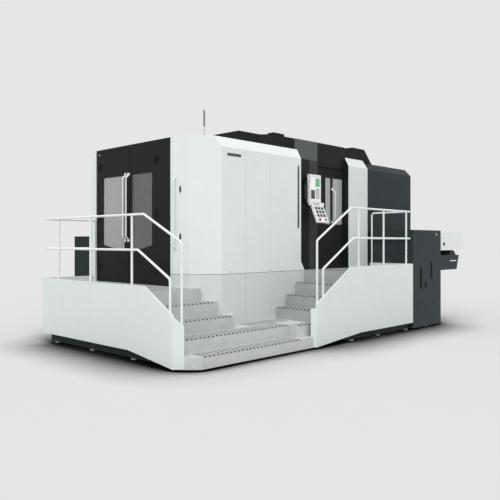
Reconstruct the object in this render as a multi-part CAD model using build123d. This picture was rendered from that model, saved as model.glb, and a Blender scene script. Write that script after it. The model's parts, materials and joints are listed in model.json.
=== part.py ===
from build123d import *
import os
from math import atan2, cos, degrees, radians, sin, sqrt, tan

# Horizontal machining centre with a pallet changer, millimetres.
# +X runs along the long side with the stairs, from the setup station to the
# magazine. +Y runs from the stairs to the back. +Z is up, and the origin is
# the middle of the whole machine on the floor.

# Whole machine
overall_length = 8060.0
overall_depth = 4900.0
front_y = -overall_depth / 2
back_y = overall_depth / 2
left_x = -overall_length / 2
right_x = overall_length / 2
floor_gap = 30.0

# Stairs and platforms
rise = 200.0
run = 255.0
landing_steps = 2
left_steps = 5
right_steps = 6
left_deck_z = left_steps * rise
right_deck_z = right_steps * rise
landing_z = landing_steps * rise
tread_t = 6.0
slot_pitch = 78.0
slot_width = 38.0
slot_margin = 16.0
first_riser_y = front_y + 40.0
landing_y = front_y + 310.0
landing_jog = 160.0
landing_jog_x = -1680.0
left_nosing_y = landing_y + 290.0
mitre_offset = -783.0
right_riser_x = -1240.0

# Enclosure walls
wall = 50.0
skin = 20.0
deck_depth = 975.0
main_y = front_y + deck_depth
setup_x = -2970.0
setup_bulge = 30.0
seam_z = right_deck_z
seam_gap = 6.0
cover_z = 3210.0
cover_top_z = 3380.0
bevel_back = 91.0
facet_a_y = main_y + 585.0
facet_b_x = -2920.0
facet_b_y = main_y + 305.0
facet_c_x = -2505.0
cover_right_x = -555.0
cover_flare = 100.0
cover_flare_h = 160.0
setup_near_y = facet_a_y + 110.0
post_width = 150.0
notch_depth = 930.0
setup_far_y = back_y - notch_depth - post_width
notch_x = -2150.0
notch_y = setup_far_y + post_width
joint_xs = (-1980.0, -1370.0)
joint_w = 6.0

# Operator side
fascia_y = main_y + 100.0
roof_y = fascia_y + skin
door_play = 2.0
door_edge_x = 53.0
operator_door_y = roof_y + door_play
column_left_x = 917.0
column_right_x = 1592.0
roof_z = 3580.0
roof_left_x = -1850.0
roof_step_x = -1350.0
roof_step = 330.0
hatch_h = 44.0
roof_rise = 40.0
roof_rise_x = 1000.0
roof_flat_x = 1230.0
roof_end_x = 1650.0
magazine_right_x = 3400.0
magazine_y = main_y + 35.0
magazine_z = 3200.0
magazine_top_z = 3340.0

# Outer panels and rails of the platforms
panel_t = 30.0
toe_h = 100.0
panel_lap = 5.0
left_panel_far_y = setup_far_y + panel_lap
left_bend_y = front_y + 315.0
left_slope_y = front_y + 940.0
left_bend_z = 737.0
left_flange = 110.0
left_flange_z = 604.0
panel_low_z = 33.0
left_panel_z = 170.0
left_panel_low_y = front_y + 1310.0
panel_joint_y = -164.0
right_panel_left_x = -1350.0
right_panel_right_x = 1690.0
right_slope_x = -390.0
right_bend_z = 720.0
right_panel_z = 140.0
right_panel_low_x = -110.0
right_flange = 70.0
tube_r = 17.0
rail_bend_r = 60.0
rail_h = 1100.0
mid_rail_h = 600.0
post_inset = 30.0
left_foot_set = 80.0
left_foot_in = 65.0
left_top_bend = 40.0
left_mid_bend = 175.0
right_foot_set = 40.0
right_mid_set = 195.0
right_top_bend = 35.0
right_mid_bend = 95.0
right_mid_drop = 20.0
rail_weld = 25.0
left_rail_slope = 28.0
right_rail_slope = 30.5
left_posts = (left_panel_far_y - 505.0, left_panel_far_y - 1475.0, left_slope_y + 320.0)
right_posts = (-140.0, 670.0, 1480.0)
post_proud = 20.0
left_plinth_set = 130.0
plinth_set = 70.0
foot_r = 35.0
left_foot_ys = (front_y + 1404.0, 67.0, setup_far_y - 210.0)
right_foot_xs = (-250.0, 594.0, 1585.0, 2392.0)
bed_foot_xs = (-500.0, 900.0, 1900.0, 3000.0)
bed_foot_set = 550.0

# Doors
leaf_t = 45.0
door_gap = 4.0
leaf_near_y = setup_near_y + 380.0
leaf_far_y = setup_far_y - 110.0
work_y = (leaf_near_y + leaf_far_y) / 2
leaf_split_y = work_y - 45.0
leaf_low_z = left_deck_z + 14.0
leaf_top_z = 3320.0
window_top_z = 2866.0
window_low_z = 1655.0
window_drop = 115.0
window_t = 10.0
handle_r = 14.0
handle_stand = 75.0
handle_low_z = 1740.0
handle_top_z = 2870.0
handle_bend = 40.0
handle_sweep = 0.8
hinge_r = 13.0
hinge_off = 14.0
hinge_end = 250.0
hinge_half = 60.0
hinge_slack = 0.5
strap_len = 60.0
strap_t = 6.0
leaf_margin = 110.0
door_sill = 10.0
door_lap = 10.0
run_gap = 0.3
operator_handle_x = 540.0
mullion_x = 500.0
mullion_w = 60.0
operator_door_low_z = right_deck_z + 14.0
operator_door_top_z = 3150.0
operator_door_t = 40.0
operator_window_x = 331.0
operator_window_in = 31.0
operator_window_low_z = 2050.0
operator_window_top_z = 2950.0
operator_door_gap = 2.0
operator_handle_low_z = 2100.0
operator_handle_top_z = 2730.0
operator_handle_r = 12.0
handle_from_split = 45.0
led_from_edge = 70.0

# Work area
pallet_size = 800.0
pallet_t = 100.0
pallet_z = 1450.0
changer_x = -1150.0
changer_r = 850.0
table_x = 600.0
spindle_z = 2000.0
spindle_r = 110.0
run_clear = 0.05
way_z = 700.0
rail_t = 60.0
column_x = 1700.0
column_w = 840.0

# Outline of the enclosure in plan, shared by the main cover and the lower wall
facet_outline = [
    (setup_x, setup_near_y),
    (setup_x - setup_bulge, setup_near_y - setup_bulge),
    (setup_x - setup_bulge, facet_a_y),
    (facet_b_x, facet_b_y),
    (facet_c_x, main_y),
]
cover_outline = facet_outline + [(cover_right_x, main_y), (cover_right_x, setup_near_y)]
panel_in_x = left_x + panel_t
flange_end = (left_x + left_flange, left_bend_y - left_flange)
front_corner_x = flange_end[0] + (flange_end[1] - first_riser_y)
right_deck_x = right_riser_x + (right_steps - landing_steps - 1) * run
led_x = cover_right_x - led_from_edge
led_w = 56.0
led_play = 1.0
led_low_z = 1930.0
led_top_z = 3100.0
led_t = 8.0
plate_x = -2235.0
plate_z = 3100.0
plate_w = 320.0
plate_h = 50.0
latch_h = 67.0
latch_w = 24.0
latch_d = 15.0
latch_share = 0.43
latch_zs = (2535.0, 1790.0)

# Machine inside the enclosure
bed_w = 1300.0
fork_gap = 345.0
fork_w = 55.0
fork_t = 80.0
fork_z = pallet_z - pallet_t - fork_t
post_r = 150.0
table_r = 300.0
table_low_z = 1000.0
table_ring = 30.0
table_ring_h = 60.0
saddle_foot = 520.0
saddle_top = 380.0
saddle_lip = 120.0
saddle_len = 960.0
pallet_cut = 60.0
t_slot_w = 22.0
t_slot_wide = 38.0
t_slot_d = 38.0
t_slot_neck = 22.0
cube_w = 300.0
cube_h = 700.0
cube_foot = 60.0
cube_foot_t = 50.0
cube_slot = 80.0
cube_slot_step = 180.0
cube_slots = 3
head_w = 600.0
head_x = 1250.0
head_h = 300.0
nose_len = 120.0
nose_wall = 100.0
nose_taper = -10
shaft_out = 30.0
shaft_back = 131.0
socket_r = 35.0
socket_d = 100.0
socket_taper = 8.3
taper_len = 60.0
taper_tip_r = 24.0
taper_r = 33.0
flange_r = 48.0
holder_flange = 35.0
holder_len = 115.0
holder_r = 28.0
cutter_r = 50.0
cutter_len = 50.0
wheel_x = 2500.0
wheel_z = 1850.0
wheel_y = main_y + 175.0
wheel_r = 720.0
pot_r = 45.0
pot_len = 220.0
pot_count = 20
pot_edge = 12.0
disc_t = 40.0
disc_windows = 6
disc_window_ring = 400.0
disc_window_r = 140.0
wheel_hub_r = 150.0
wheel_hub_t = 120.0
wheel_shaft_r = 60.0
wheel_shaft_len = 110.0
stand_w = 240.0
stand_over = 150.0
stand_gap = 5.0
arm_x = 1200.0
arm_y = wheel_y + 560.0
arm_reach = 420.0
arm_shaft_r = 60.0
arm_shaft_len = 180.0
arm_t = 40.0
arm_w = 70.0
gearbox_gap = 60.0
gearbox_w = 200.0
gearbox_h = 240.0
pillar_in = 60.0
arm_foot_t = 40.0
arm_foot_out = 80.0
arm_foot_in = 40.0
claw_r = 70.0
claw_bore_r = 42.0
claw_mouth = 72.0
wing_r = 1330.0
splash_r = 1290.0
splash_top_z = 3150.0
lift_top_z = 1100.0
post_low_z = 600.0
post_hole_z = 500.0
pedestal_z = 1060.0
pedestal_wall = 120.0
pedestal_flange = 220.0
pedestal_flange_t = 60.0
hub_wall = 90.0
tine_over = 180.0
fork_cross = 330.0
bed_x0 = -750.0
bed_x1 = 1600.0
bed_x2 = 3200.0
bed_low_z = 70.0
bed_knee_z = 360.0
bed_taper = 150.0
cross_y0 = wheel_y + 400.0
bracket_w = 80.0
bracket_z = 120.0
bracket_xs = (0.0, 1000.0)
link_h = 300.0
cross_y1 = back_y - 690.0
trough_w = 360.0
trough_d = 250.0
table_rails = 800.0
column_foot = 1300.0
column_rail_in = 150.0
column_foot_h = 250.0
column_side = 210.0
column_bridge = 220.0
way_top = 70.0
column_head = 700.0
column_top_z = 3120.0
head_way_low_z = 1150.0

# Cabinets outside
cab_x0 = right_panel_right_x
cab_x1 = 2840.0
cab_z = 1950.0
cab_back_y = magazine_y
cab_door_t = 25.0
cab_door_z = 500.0
chute_x1 = 3810.0
chute_y0 = front_y + 60.0
chute_y1 = chute_y0 + 480.0
chute_low_z = 1120.0
chute_top_z = 1430.0
mist_low_z = 1536.0
mist_top_z = 1911.0
foot_panel_gap = 3.0
pump_w = 230.0
pump_y0 = front_y + 120.0
pump_y1 = front_y + 700.0
pump_z = 545.0
guard_w = 90.0
guard_low_z = 640.0
guard_slope = 60.0
guard_drop = 50.0
guard_top_z = 1060.0
guard_y0 = front_y + 60.0
guard_y1 = front_y + 420.0
vent_w = 40.0
vent_places = ((285.0, 790.0, 1190.0), (720.0, 980.0, 1300.0), (490.0, 800.0, 900.0))
tank_door_gap = 2.0
chute_slope = 110.0
mouth_from = 700.0
mouth_to = 160.0
mouth_side = 50.0
mouth_roof = 60.0
hump_r = 150.0
hump_in = 260.0
hump_low = 45.0
hump_y0 = chute_y0 + 20.0
hump_y1 = hump_y0 + 300.0
mist_gap = 20.0
mist_depth = 420.0
mist_bracket_in = 60.0
mist_bracket_low = 40.0
electric_x = -2900.0
electric_back_y = back_y - 175.0
electric_top_z = 1820.0
electric_door_in = 20.0
electric_low_z = 80.0
electric_gap = 2.0

# Control panel
panel_x0 = -320.0
panel_x1 = 10.0
panel_y = main_y - 15.0
screen_low_z = 2430.0
screen_top_z = 2950.0
key_len = 340.0
key_tilt = 23.5
key_t = 40.0
screen_t = 60.0
knuckle_r = 30.0
grab_low_z = 1600.0
grab_top_z = 2730.0
grab_stand = 50.0
grab_share = 0.14
grab_r = 15.0
grab_bend = 38.0
grab_end = 40.0
bezel = 25.0
bezel_foot = 45.0
screen_d = 12.0
screen_back = 4.0
screen_gap = 1.0
sleeve_wall = 12.0
sleeve_low = 70.0
sleeve_high = 160.0
web_in = 40.0
web_lap = 15.0
lug_front = 20.0
lug_rear = 42.0
lug_up = 10.0
mast_low = 20.0
mast_high = 110.0
bracket_half = 26.0
bracket_t = 24.0
knuckle_w = 32.0
knuckle_gap = 2.0
pin_out = 12.0
key_arm_w = 30.0
key_arm_lap = 10.0
recess_side = 20.0
recess_len = 250.0
recess_d = 4.0
cap_cols = 3
cap_rows = 3
cap_w = 74.0
cap_h = 54.0
cap_t = 10.0
cap_step_x = 90.0
cap_step_s = 72.0
cap_in_x = 36.0
cap_in_s = 34.0
stop_head = 8.0
stop_stem = 12.0
stop_head_low = 8.0
stop_head_high = 22.0
dial_h = 20.0
dial_notch = 6.0
dial_notch_d = 4.0
signal_x = -2400.0
signal_y = facet_a_y - 50.0
signal_h = 490.0
signal_r = 16.0
signal_stem = 90.0
signal_stem_r = 9.0
signal_foot_r = 30.0
signal_foot_t = 12.0
signal_top_z = cover_top_z + signal_h
mast_r = 18.0
pin_r = 12.0
lug_w = 24.0
mast_x = panel_x0 - 40.0
mast_y = panel_y + screen_t + 15.0
key_y = panel_y - 22.0
key_z = screen_low_z - 25.0
key_gap = 34.0
along = (0.0, -sin(radians(key_tilt)), -cos(radians(key_tilt)))
outward = (0.0, -cos(radians(key_tilt)), sin(radians(key_tilt)))
knob_r = 18.0
stem_r = 14.0
button_d = 14.0
button_s = key_gap + 290.0
stop_x = panel_x0 + 70.0
dial_x = panel_x1 - 80.0


def block(x0, x1, y0, y1, z0, z1):
    return Pos(x0, y0, z0) * Box(x1 - x0, y1 - y0, z1 - z0, align=(Align.MIN, Align.MIN, Align.MIN))


def plan(points, z0, z1):
    """A prism over an outline in plan."""
    face = make_face(Polyline(*[(x, y, z0) for x, y in points], close=True))
    return extrude(face, z1 - z0, dir=(0, 0, 1))


def side_x(points, y0, y1):
    """A prism along Y over an outline of (x, z) points."""
    face = make_face(Polyline(*[(x, y0, z) for x, z in points], close=True))
    return extrude(face, y1 - y0, dir=(0, 1, 0))


def side_y(points, x0, x1):
    """A prism along X over an outline of (y, z) points."""
    face = make_face(Polyline(*[(x0, y, z) for y, z in points], close=True))
    return extrude(face, x1 - x0, dir=(1, 0, 0))


def rod(r, start, end):
    """A round bar between two points."""
    a = Vector(*start)
    axis = Vector(*end) - a
    return extrude(Plane(a, z_dir=axis.normalized()) * Circle(r), axis.length)


def bent_tube(points, r, bend):
    """A round tube along straight runs joined by bends of one radius."""
    corners = [Vector(*p) for p in points]
    parts = []
    start = corners[0]
    for before, corner, after in zip(corners, corners[1:], corners[2:]):
        d_in = (corner - before).normalized()
        d_out = (after - corner).normalized()
        turn = d_in.get_angle(d_out)
        setback = bend * tan(radians(turn / 2))
        entry = corner - d_in * setback
        parts.append(rod(r, start, entry))
        axis_dir = d_in.cross(d_out).normalized()
        centre = entry + axis_dir.cross(d_in) * bend
        section = Plane(entry, z_dir=d_in) * Circle(r)
        parts.append(revolve(section, Axis(centre, axis_dir), turn))
        start = corner + d_out * setback
    parts.append(rod(r, start, corners[-1]))
    return fuse(parts)


def fuse(shapes):
    first = shapes[0]
    return first.fuse(*shapes[1:]) if len(shapes) > 1 else first


def save(name, *shapes):
    """Writes the node, a group of separate solids where it has several."""
    solids = []
    for shape in shapes:
        solids.extend(shape.solids())
    part = solids[0] if len(solids) == 1 else Compound(children=solids)
    part.label = name
    export_step(part, f"parts/{name}.step")


def slots(x0, x1, y0, y1, z, along_x=True):
    """Cutters for a row of anti-slip slots in a tread between two edges."""
    span = x1 - x0 if along_x else y1 - y0
    count = max(int((span - 2 * slot_margin) // slot_pitch), 1)
    first = (span - (count - 1) * slot_pitch) / 2
    cutters = []
    for i in range(count):
        at = first + i * slot_pitch
        if along_x:
            cx = x0 + at
            cutters.append(
                block(cx - slot_width / 2, cx + slot_width / 2, y0 + slot_margin,
                      y1 - slot_margin, z - 2 * tread_t, z + tread_t))
        else:
            cy = y0 + at
            cutters.append(
                block(x0 + slot_margin, x1 - slot_margin, cy - slot_width / 2,
                      cy + slot_width / 2, z - 2 * tread_t, z + tread_t))
    return cutters


def cut_all(shape, cutters):
    return shape.cut(*cutters)


def on_first_facet(share):
    """A point on the facet beside the setup doors, as a share of its width."""
    x0 = setup_x - setup_bulge
    return x0 + share * (facet_b_x - x0), facet_a_y + share * (facet_b_y - facet_a_y)


def facet_x_at(y):
    """X of the facet that faces the stairs, at a given Y."""
    share = (y - main_y) / (facet_b_y - main_y)
    return facet_c_x + share * (facet_b_x - facet_c_x)


def mitre_line(step):
    """X - Y along the mitred end of a left step, counted from the landing."""
    return mitre_offset - (step - 1) * run * sqrt(2)


def facet_hit(step):
    """Where the mitred end of a left step meets the wall of the machine."""
    line = mitre_line(step)
    if main_y + line > facet_c_x:
        return (main_y + line, main_y)
    slope = (facet_b_x - facet_c_x) / (facet_b_y - main_y)
    y = (facet_c_x - slope * main_y - line) / (1 - slope)
    return (facet_x_at(y), y)


def riser_wall(points, z0, z1):
    """A folded upright sheet along an open line in plan, on the left of its direction."""
    parts = []
    for i, ((xa, ya), (xb, yb)) in enumerate(zip(points, points[1:])):
        length = sqrt((xb - xa) ** 2 + (yb - ya) ** 2)
        angle = degrees(atan2(yb - ya, xb - xa))
        if i + 2 < len(points):
            xc, yc = points[i + 2]
            turns_right = (xb - xa) * (yc - yb) - (yb - ya) * (xc - xb) < 0
            length += tread_t if turns_right else 0
        sheet = Box(length, tread_t, z1 - z0, align=(Align.MIN, Align.MIN, Align.MIN))
        parts.append(Pos(xa, ya, z0) * Rot(0, 0, angle) * sheet)
    return fuse(parts)


def lower_steps():
    """The lowest step with its 45 degree corner, and the landing above it, which steps forward on its right."""
    outline = [flange_end, (front_corner_x, first_riser_y), (right_panel_left_x, first_riser_y)]
    low_riser = riser_wall(outline, floor_gap, rise - tread_t)
    back_y0 = landing_y + tread_t
    low_tread = plan(
        [flange_end, (front_corner_x, first_riser_y), (right_riser_x, first_riser_y),
         (right_riser_x, back_y0), (panel_in_x, back_y0), (panel_in_x, left_bend_y)],
        rise - tread_t, rise)
    low_row = slots(front_corner_x, landing_jog_x, first_riser_y, landing_y, rise)
    jog_y = landing_y - landing_jog
    line = [(panel_in_x, landing_y), (landing_jog_x, landing_y), (landing_jog_x, jog_y), (right_riser_x, jog_y)]
    riser = riser_wall(line, rise, landing_z - tread_t)
    side = block(right_riser_x, right_riser_x + tread_t, front_y + panel_t, jog_y + tread_t,
                 rise - tread_t, landing_z)
    tread = plan(
        [*line, (right_riser_x, main_y), (facet_c_x, main_y), (facet_b_x, facet_b_y), (panel_in_x, facet_b_y)],
        landing_z - tread_t, landing_z)
    end_x = facet_hit(1)[0]
    front_row = slots(panel_in_x, landing_jog_x, landing_y, left_nosing_y, landing_z)
    back_row = slots(end_x, right_riser_x, left_nosing_y, main_y, landing_z)
    ledge_row = slots(landing_jog_x, right_riser_x, jog_y, landing_y, landing_z)
    sheets = low_riser.fuse(low_tread, riser, side, tread)
    return sheets.cut(*low_row, *front_row, *back_row, *ledge_row, left_panel(), right_panel())


def left_flight():
    """Three mitred steps that wrap round the corner up to the setup platform."""
    parts = []
    cutters = []
    for step in range(1, left_steps - landing_steps + 1):
        nosing = left_nosing_y + (step - 1) * run
        top = landing_z + step * rise
        end_x = nosing + mitre_line(step)
        hit = facet_hit(step)
        parts.append(riser_wall([(panel_in_x, nosing), (end_x, nosing), hit], top - rise, top - tread_t))
        if step < left_steps - landing_steps:
            outline = [(panel_in_x, nosing), (end_x, nosing), hit]
            if hit[1] == main_y:
                outline.append((facet_c_x, main_y))
            outline += [(facet_b_x, facet_b_y), (panel_in_x, facet_b_y)]
            parts.append(plan(outline, top - tread_t, top))
            cutters += slots(panel_in_x, end_x, nosing, nosing + run, top)
    cutters.append(plan(cover_outline, landing_z, left_deck_z + rise))
    return cut_all(fuse(parts), cutters)


def left_deck():
    """The setup platform, a slotted sheet deck along the setup doors."""
    nosing = left_nosing_y + (left_steps - landing_steps - 1) * run
    end_x = nosing + mitre_line(left_steps - landing_steps)
    hit = facet_hit(left_steps - landing_steps)
    outline = [
        (panel_in_x, nosing), (end_x, nosing), hit, (facet_b_x, facet_b_y),
        (setup_x - setup_bulge, facet_a_y), (setup_x - setup_bulge, setup_near_y - setup_bulge),
        (setup_x, setup_near_y), (setup_x, setup_far_y - panel_t), (panel_in_x, setup_far_y - panel_t)]
    deck = plan(outline, left_deck_z - tread_t, left_deck_z)
    deck_slots = slots(panel_in_x, setup_x - setup_bulge, nosing, nosing + run, left_deck_z)
    rows = int((setup_far_y - nosing) // run) - 1
    for row in range(1, rows + 1):
        y0 = nosing + row * run
        deck_slots += slots(panel_in_x, setup_x - setup_bulge, y0, y0 + run, left_deck_z)
    return cut_all(deck, deck_slots)


def right_flight():
    """Four risers and three treads up to the operator platform."""
    parts = []
    cutters = []
    y0 = front_y + panel_t
    for step in range(right_steps - landing_steps):
        x0 = right_riser_x + step * run
        top = landing_z + (step + 1) * rise
        parts.append(block(x0, x0 + tread_t, y0, main_y, top - rise, top - tread_t))
        if step < right_steps - landing_steps - 1:
            parts.append(block(x0, x0 + run + tread_t, y0, main_y, top - tread_t, top))
            cutters += slots(x0, x0 + run, y0, main_y, top, along_x=False)
    return cut_all(fuse(parts), cutters)


def right_deck():
    """The operator platform, a slotted sheet deck along the operator door."""
    y0 = front_y + panel_t
    low = right_deck_z - tread_t
    deck = block(right_deck_x, right_panel_right_x, y0, main_y, low, right_deck_z)
    filler = block(column_right_x, right_panel_right_x, main_y, magazine_y, low, right_deck_z)
    cutters = []
    rows = int((right_panel_right_x - right_deck_x) // run)
    for row in range(rows):
        x0 = right_deck_x + row * run
        cutters += slots(x0, x0 + run, y0, main_y, right_deck_z, along_x=False)
    return cut_all(deck.fuse(filler), cutters)


def left_lead_in(near, far):
    """The sheet that bends inwards at the stair end of the left panel, between two depths from its face."""
    xa, ya = left_x, left_bend_y
    xb, yb = flange_end
    length = sqrt((xb - xa) ** 2 + (yb - ya) ** 2)
    face = make_face(Polyline((0, near, panel_low_z), (length, near, panel_low_z),
                              (length, near, left_flange_z), (0, near, left_bend_z), close=True))
    sheet = extrude(face, far - near, dir=(0, 1, 0))
    return Pos(xa, ya, 0) * Rot(0, 0, degrees(atan2(yb - ya, xb - xa))) * sheet


def left_panel():
    """The outer sheet of the setup platform, with its bent lead-in at the stairs."""
    top = left_deck_z + toe_h
    outline = [
        (left_panel_far_y, left_panel_z), (left_panel_low_y, left_panel_z),
        (left_bend_y, panel_low_z), (left_bend_y, left_bend_z),
        (left_slope_y, top), (left_panel_far_y, top)]
    sheet = side_y(outline, left_x, panel_in_x)
    groove = block(left_x - joint_w, left_x + joint_w, panel_joint_y, panel_joint_y + joint_w,
                   0, top + toe_h)
    end_toe = block(panel_in_x, setup_x - post_proud, setup_far_y - panel_t, left_panel_far_y,
                    left_deck_z - rise / 2, top)
    return sheet.cut(groove).fuse(left_lead_in(0, panel_t), end_toe)


def right_panel():
    """The outer sheet of the operator platform, rising with the stairs."""
    top = right_deck_z + toe_h - panel_low_z / 3
    outline = [
        (right_panel_right_x, right_panel_z), (right_panel_low_x, right_panel_z),
        (right_panel_left_x, panel_low_z), (right_panel_left_x, right_bend_z),
        (right_slope_x, top), (right_panel_right_x, top)]
    sheet = side_x(outline, front_y, front_y + panel_t)
    flange_x = right_panel_left_x - right_flange
    flange_y = front_y + right_flange
    flange_outline = [(right_panel_left_x, front_y), (flange_x, flange_y), (flange_x + panel_t, flange_y),
                      (right_panel_left_x + panel_t, front_y + panel_t)]
    flange = plan(flange_outline, panel_low_z, right_bend_z - right_flange)
    end_toe = block(right_panel_right_x - panel_t, right_panel_right_x, front_y + panel_t, main_y,
                    right_deck_z, top)
    return sheet.fuse(flange, end_toe)


def handrail_left():
    """Welded tube rail of the setup platform, with its two stair ends, its feet cut to fit the panel."""
    x = panel_in_x
    top = left_deck_z + rail_h
    mid = left_deck_z + mid_rail_h
    far = setup_far_y - panel_t
    slope = tan(radians(left_rail_slope))
    end_y, end_z = left_bend_y - left_foot_set, left_flange_z
    mid_y, mid_z = left_bend_y + left_foot_set, left_bend_z + rail_weld
    bend_top = left_slope_y + left_top_bend
    bend_mid = left_slope_y + left_mid_bend
    low_top = top - (bend_top - end_y) * slope
    low_mid = mid - (bend_mid - mid_y) * slope
    flange_x = x + left_foot_in
    gate_x = setup_x - 2 * post_inset
    parts = [
        bent_tube([(gate_x, far, top), (x, far, top), (x, bend_top, top),
                   (flange_x, end_y, low_top), (flange_x, end_y, end_z)], tube_r, rail_bend_r),
        bent_tube([(gate_x, far, mid), (x, far, mid), (x, bend_mid, mid),
                   (x, mid_y, low_mid), (x, mid_y, mid_z)], tube_r, rail_bend_r)]
    for y in left_posts:
        parts.append(rod(tube_r, (x, y, left_deck_z), (x, y, top)))
    parts.append(rod(tube_r, (gate_x, far, left_deck_z), (gate_x, far, top)))
    return fuse(parts).cut(left_panel(), left_lead_in(-panel_t, 2 * panel_t))


def handrail_right():
    """Welded tube rail of the operator platform, with its two stair ends, its feet cut to fit the panel."""
    y = front_y + panel_t
    top = right_deck_z + rail_h
    mid = right_deck_z + mid_rail_h - right_mid_drop
    right = right_panel_right_x - panel_t
    slope = tan(radians(right_rail_slope))
    end_x, end_z = right_panel_left_x + right_foot_set, right_bend_z - rail_weld
    mid_x, mid_z = right_panel_left_x + right_mid_set, right_bend_z + 2 * rail_weld
    bend_top = right_slope_x + right_top_bend
    bend_mid = right_slope_x + right_mid_bend
    low_top = top - (bend_top - end_x) * slope
    low_mid = mid - (bend_mid - mid_x) * slope
    back = main_y - 2 * post_inset
    parts = [
        bent_tube([(end_x, y, end_z), (end_x, y, low_top), (bend_top, y, top),
                   (right, y, top), (right, back, top), (right, back, right_deck_z)], tube_r, rail_bend_r),
        bent_tube([(mid_x, y, mid_z), (mid_x, y, low_mid), (bend_mid, y, mid),
                   (right, y, mid), (right, back - tube_r / 2, mid)], tube_r, rail_bend_r)]
    for x in right_posts:
        parts.append(rod(tube_r, (x, y, right_deck_z), (x, y, top)))
    return fuse(parts).cut(right_panel())


def plinth_left():
    """Dark sheet base under the setup platform, open inside, low under the stairs."""
    x0 = left_x + left_plinth_set
    x1 = setup_x - panel_t
    y0 = left_nosing_y
    y1 = setup_far_y - plinth_set
    outer = block(x0, x1, y0, y1, floor_gap, left_deck_z - tread_t)
    hollow = block(x0 + skin, x1 - skin, y0 + skin, y1 - skin, 0, left_deck_z)
    stairs = block(x0 - skin, setup_x, y0 - skin, facet_b_y, landing_z - tread_t, left_deck_z)
    return outer.cut(hollow, stairs)


def plinth_right():
    """Dark sheet base under the operator platform, open inside."""
    y0 = front_y + plinth_set
    x0 = right_deck_x + tread_t
    x1 = right_panel_right_x - plinth_set
    outer = block(x0, x1, y0, main_y, floor_gap, right_deck_z - tread_t)
    cut = block(x0 + skin, x1 - skin, y0 + skin, main_y - skin, 0, right_deck_z)
    return outer.cut(cut)


def band(points, z0, z1, thickness):
    """A wall that follows a closed outline in plan, open at the top and the foot."""
    low = make_face(Polyline(*[(x, y, z0) for x, y in points], close=True))
    inner = offset(low, -thickness, kind=Kind.INTERSECTION)
    return extrude(low, z1 - z0, dir=(0, 0, 1)), extrude(inner, z1 - z0, dir=(0, 0, 1))


def front_bevel(y, z0, z1, x0, x1):
    """Cutter for the bevel along the top of a front face."""
    return side_y([(y, z0), (y + bevel_back, z1), (y + bevel_back, z1 + wall), (y - wall, z1 + wall),
                   (y - wall, z0)], x0, x1)


def led_outline(grow):
    """Long slot with both ends drawn to a point, as (x, z) points."""
    half = led_w / 2 + grow
    tip = led_w + grow
    return [(led_x - half, led_low_z + tip), (led_x, led_low_z - grow), (led_x + half, led_low_z + tip),
            (led_x + half, led_top_z - tip), (led_x, led_top_z + grow), (led_x - half, led_top_z - tip)]


def main_cover():
    """The white faceted cover of the pallet changer, one folded sheet form with a bevelled top."""
    outer, inner = band(cover_outline, seam_z + seam_gap, cover_top_z, wall)
    outer = outer.cut(front_bevel(main_y, cover_z, cover_top_z, facet_b_x, cover_right_x + 1))
    inner = inner.cut(front_bevel(main_y + wall, cover_z - skin, cover_top_z, facet_b_x, cover_right_x + 1))
    open_back = block(setup_x + wall, cover_right_x - wall, setup_near_y - wall - 1, back_y, 0,
                      cover_top_z + 1)
    side_back = block(cover_right_x - wall - 1, right_x, fascia_y, back_y, 0, cover_top_z + 1)
    flare_z = seam_z + seam_gap
    flare = side_x([(cover_right_x, flare_z + cover_flare_h), (cover_right_x + cover_flare, flare_z),
                    (cover_right_x, flare_z)], main_y, main_y + wall)
    cuts = [block(x - joint_w / 2, x + joint_w / 2, main_y - wall, main_y + joint_w, seam_z, cover_z)
            for x in joint_xs]
    cuts.append(side_x(led_outline(0), main_y - wall, main_y + 2 * led_t))
    cuts.append(Pos(plate_x, main_y + led_t, plate_z) * Rot(90, 0, 0) * extrude(
        SlotOverall(plate_w, plate_h), wall))
    latch_x, latch_y = on_first_facet(latch_share)
    for z in latch_zs:
        cuts.append(block(latch_x - latch_d, latch_x + latch_d, latch_y - latch_w / 2, latch_y + latch_w / 2,
                          z - latch_h, z + latch_h))
    return outer.cut(inner, open_back, side_back).fuse(flare).cut(*cuts)


def led_strip():
    """Status light in its slot."""
    return side_x(led_outline(-led_play), main_y + led_t, main_y + 2 * led_t)


def lower_wall():
    """Light grey wall behind the stairs, under the main cover's seam, with the sill of the operator door."""
    line = facet_outline + [(column_right_x, main_y)]
    inner = [(column_right_x, main_y + wall), (facet_c_x + wall / 2, main_y + wall),
             (facet_b_x + wall, facet_b_y + wall / 2), (setup_x - setup_bulge + wall, facet_a_y),
             (setup_x + wall, setup_near_y)]
    sheet = plan(line + inner, floor_gap, seam_z)
    sill = block(cover_right_x - wall, column_left_x, main_y + wall, operator_door_y + operator_door_t + skin,
                 seam_z - skin, seam_z)
    cuts = [block(x - joint_w / 2, x + joint_w / 2, main_y - wall, main_y + joint_w, landing_z, seam_z)
            for x in joint_xs]
    return sheet.fuse(sill).cut(*cuts)


def corner_post():
    """White post at the far side of the setup doors, with the short back wall behind it."""
    post = block(setup_x - post_proud, setup_x + 2 * wall, setup_far_y, notch_y, floor_gap, cover_top_z)
    back = block(setup_x + 2 * wall, notch_x, notch_y - wall, notch_y, floor_gap, cover_top_z)
    side = block(notch_x - wall, notch_x, notch_y - wall, back_y, floor_gap, cover_top_z)
    return post.fuse(back, side)


def setup_frame():
    """Black surround of the setup doors, one folded frame with the fixed halves of the hinges."""
    outer = block(setup_x, setup_x + wall, setup_near_y, setup_far_y, floor_gap, cover_top_z)
    hole = block(setup_x - wall, setup_x + 2 * wall, leaf_near_y, leaf_far_y, left_deck_z + door_sill,
                 leaf_top_z + door_gap)
    far_fixed, far_door = hinge_halves(leaf_far_y, 1)
    near_fixed, near_door = hinge_halves(leaf_near_y, -1)
    return outer.cut(hole).fuse(*far_fixed, *near_fixed)


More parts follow.
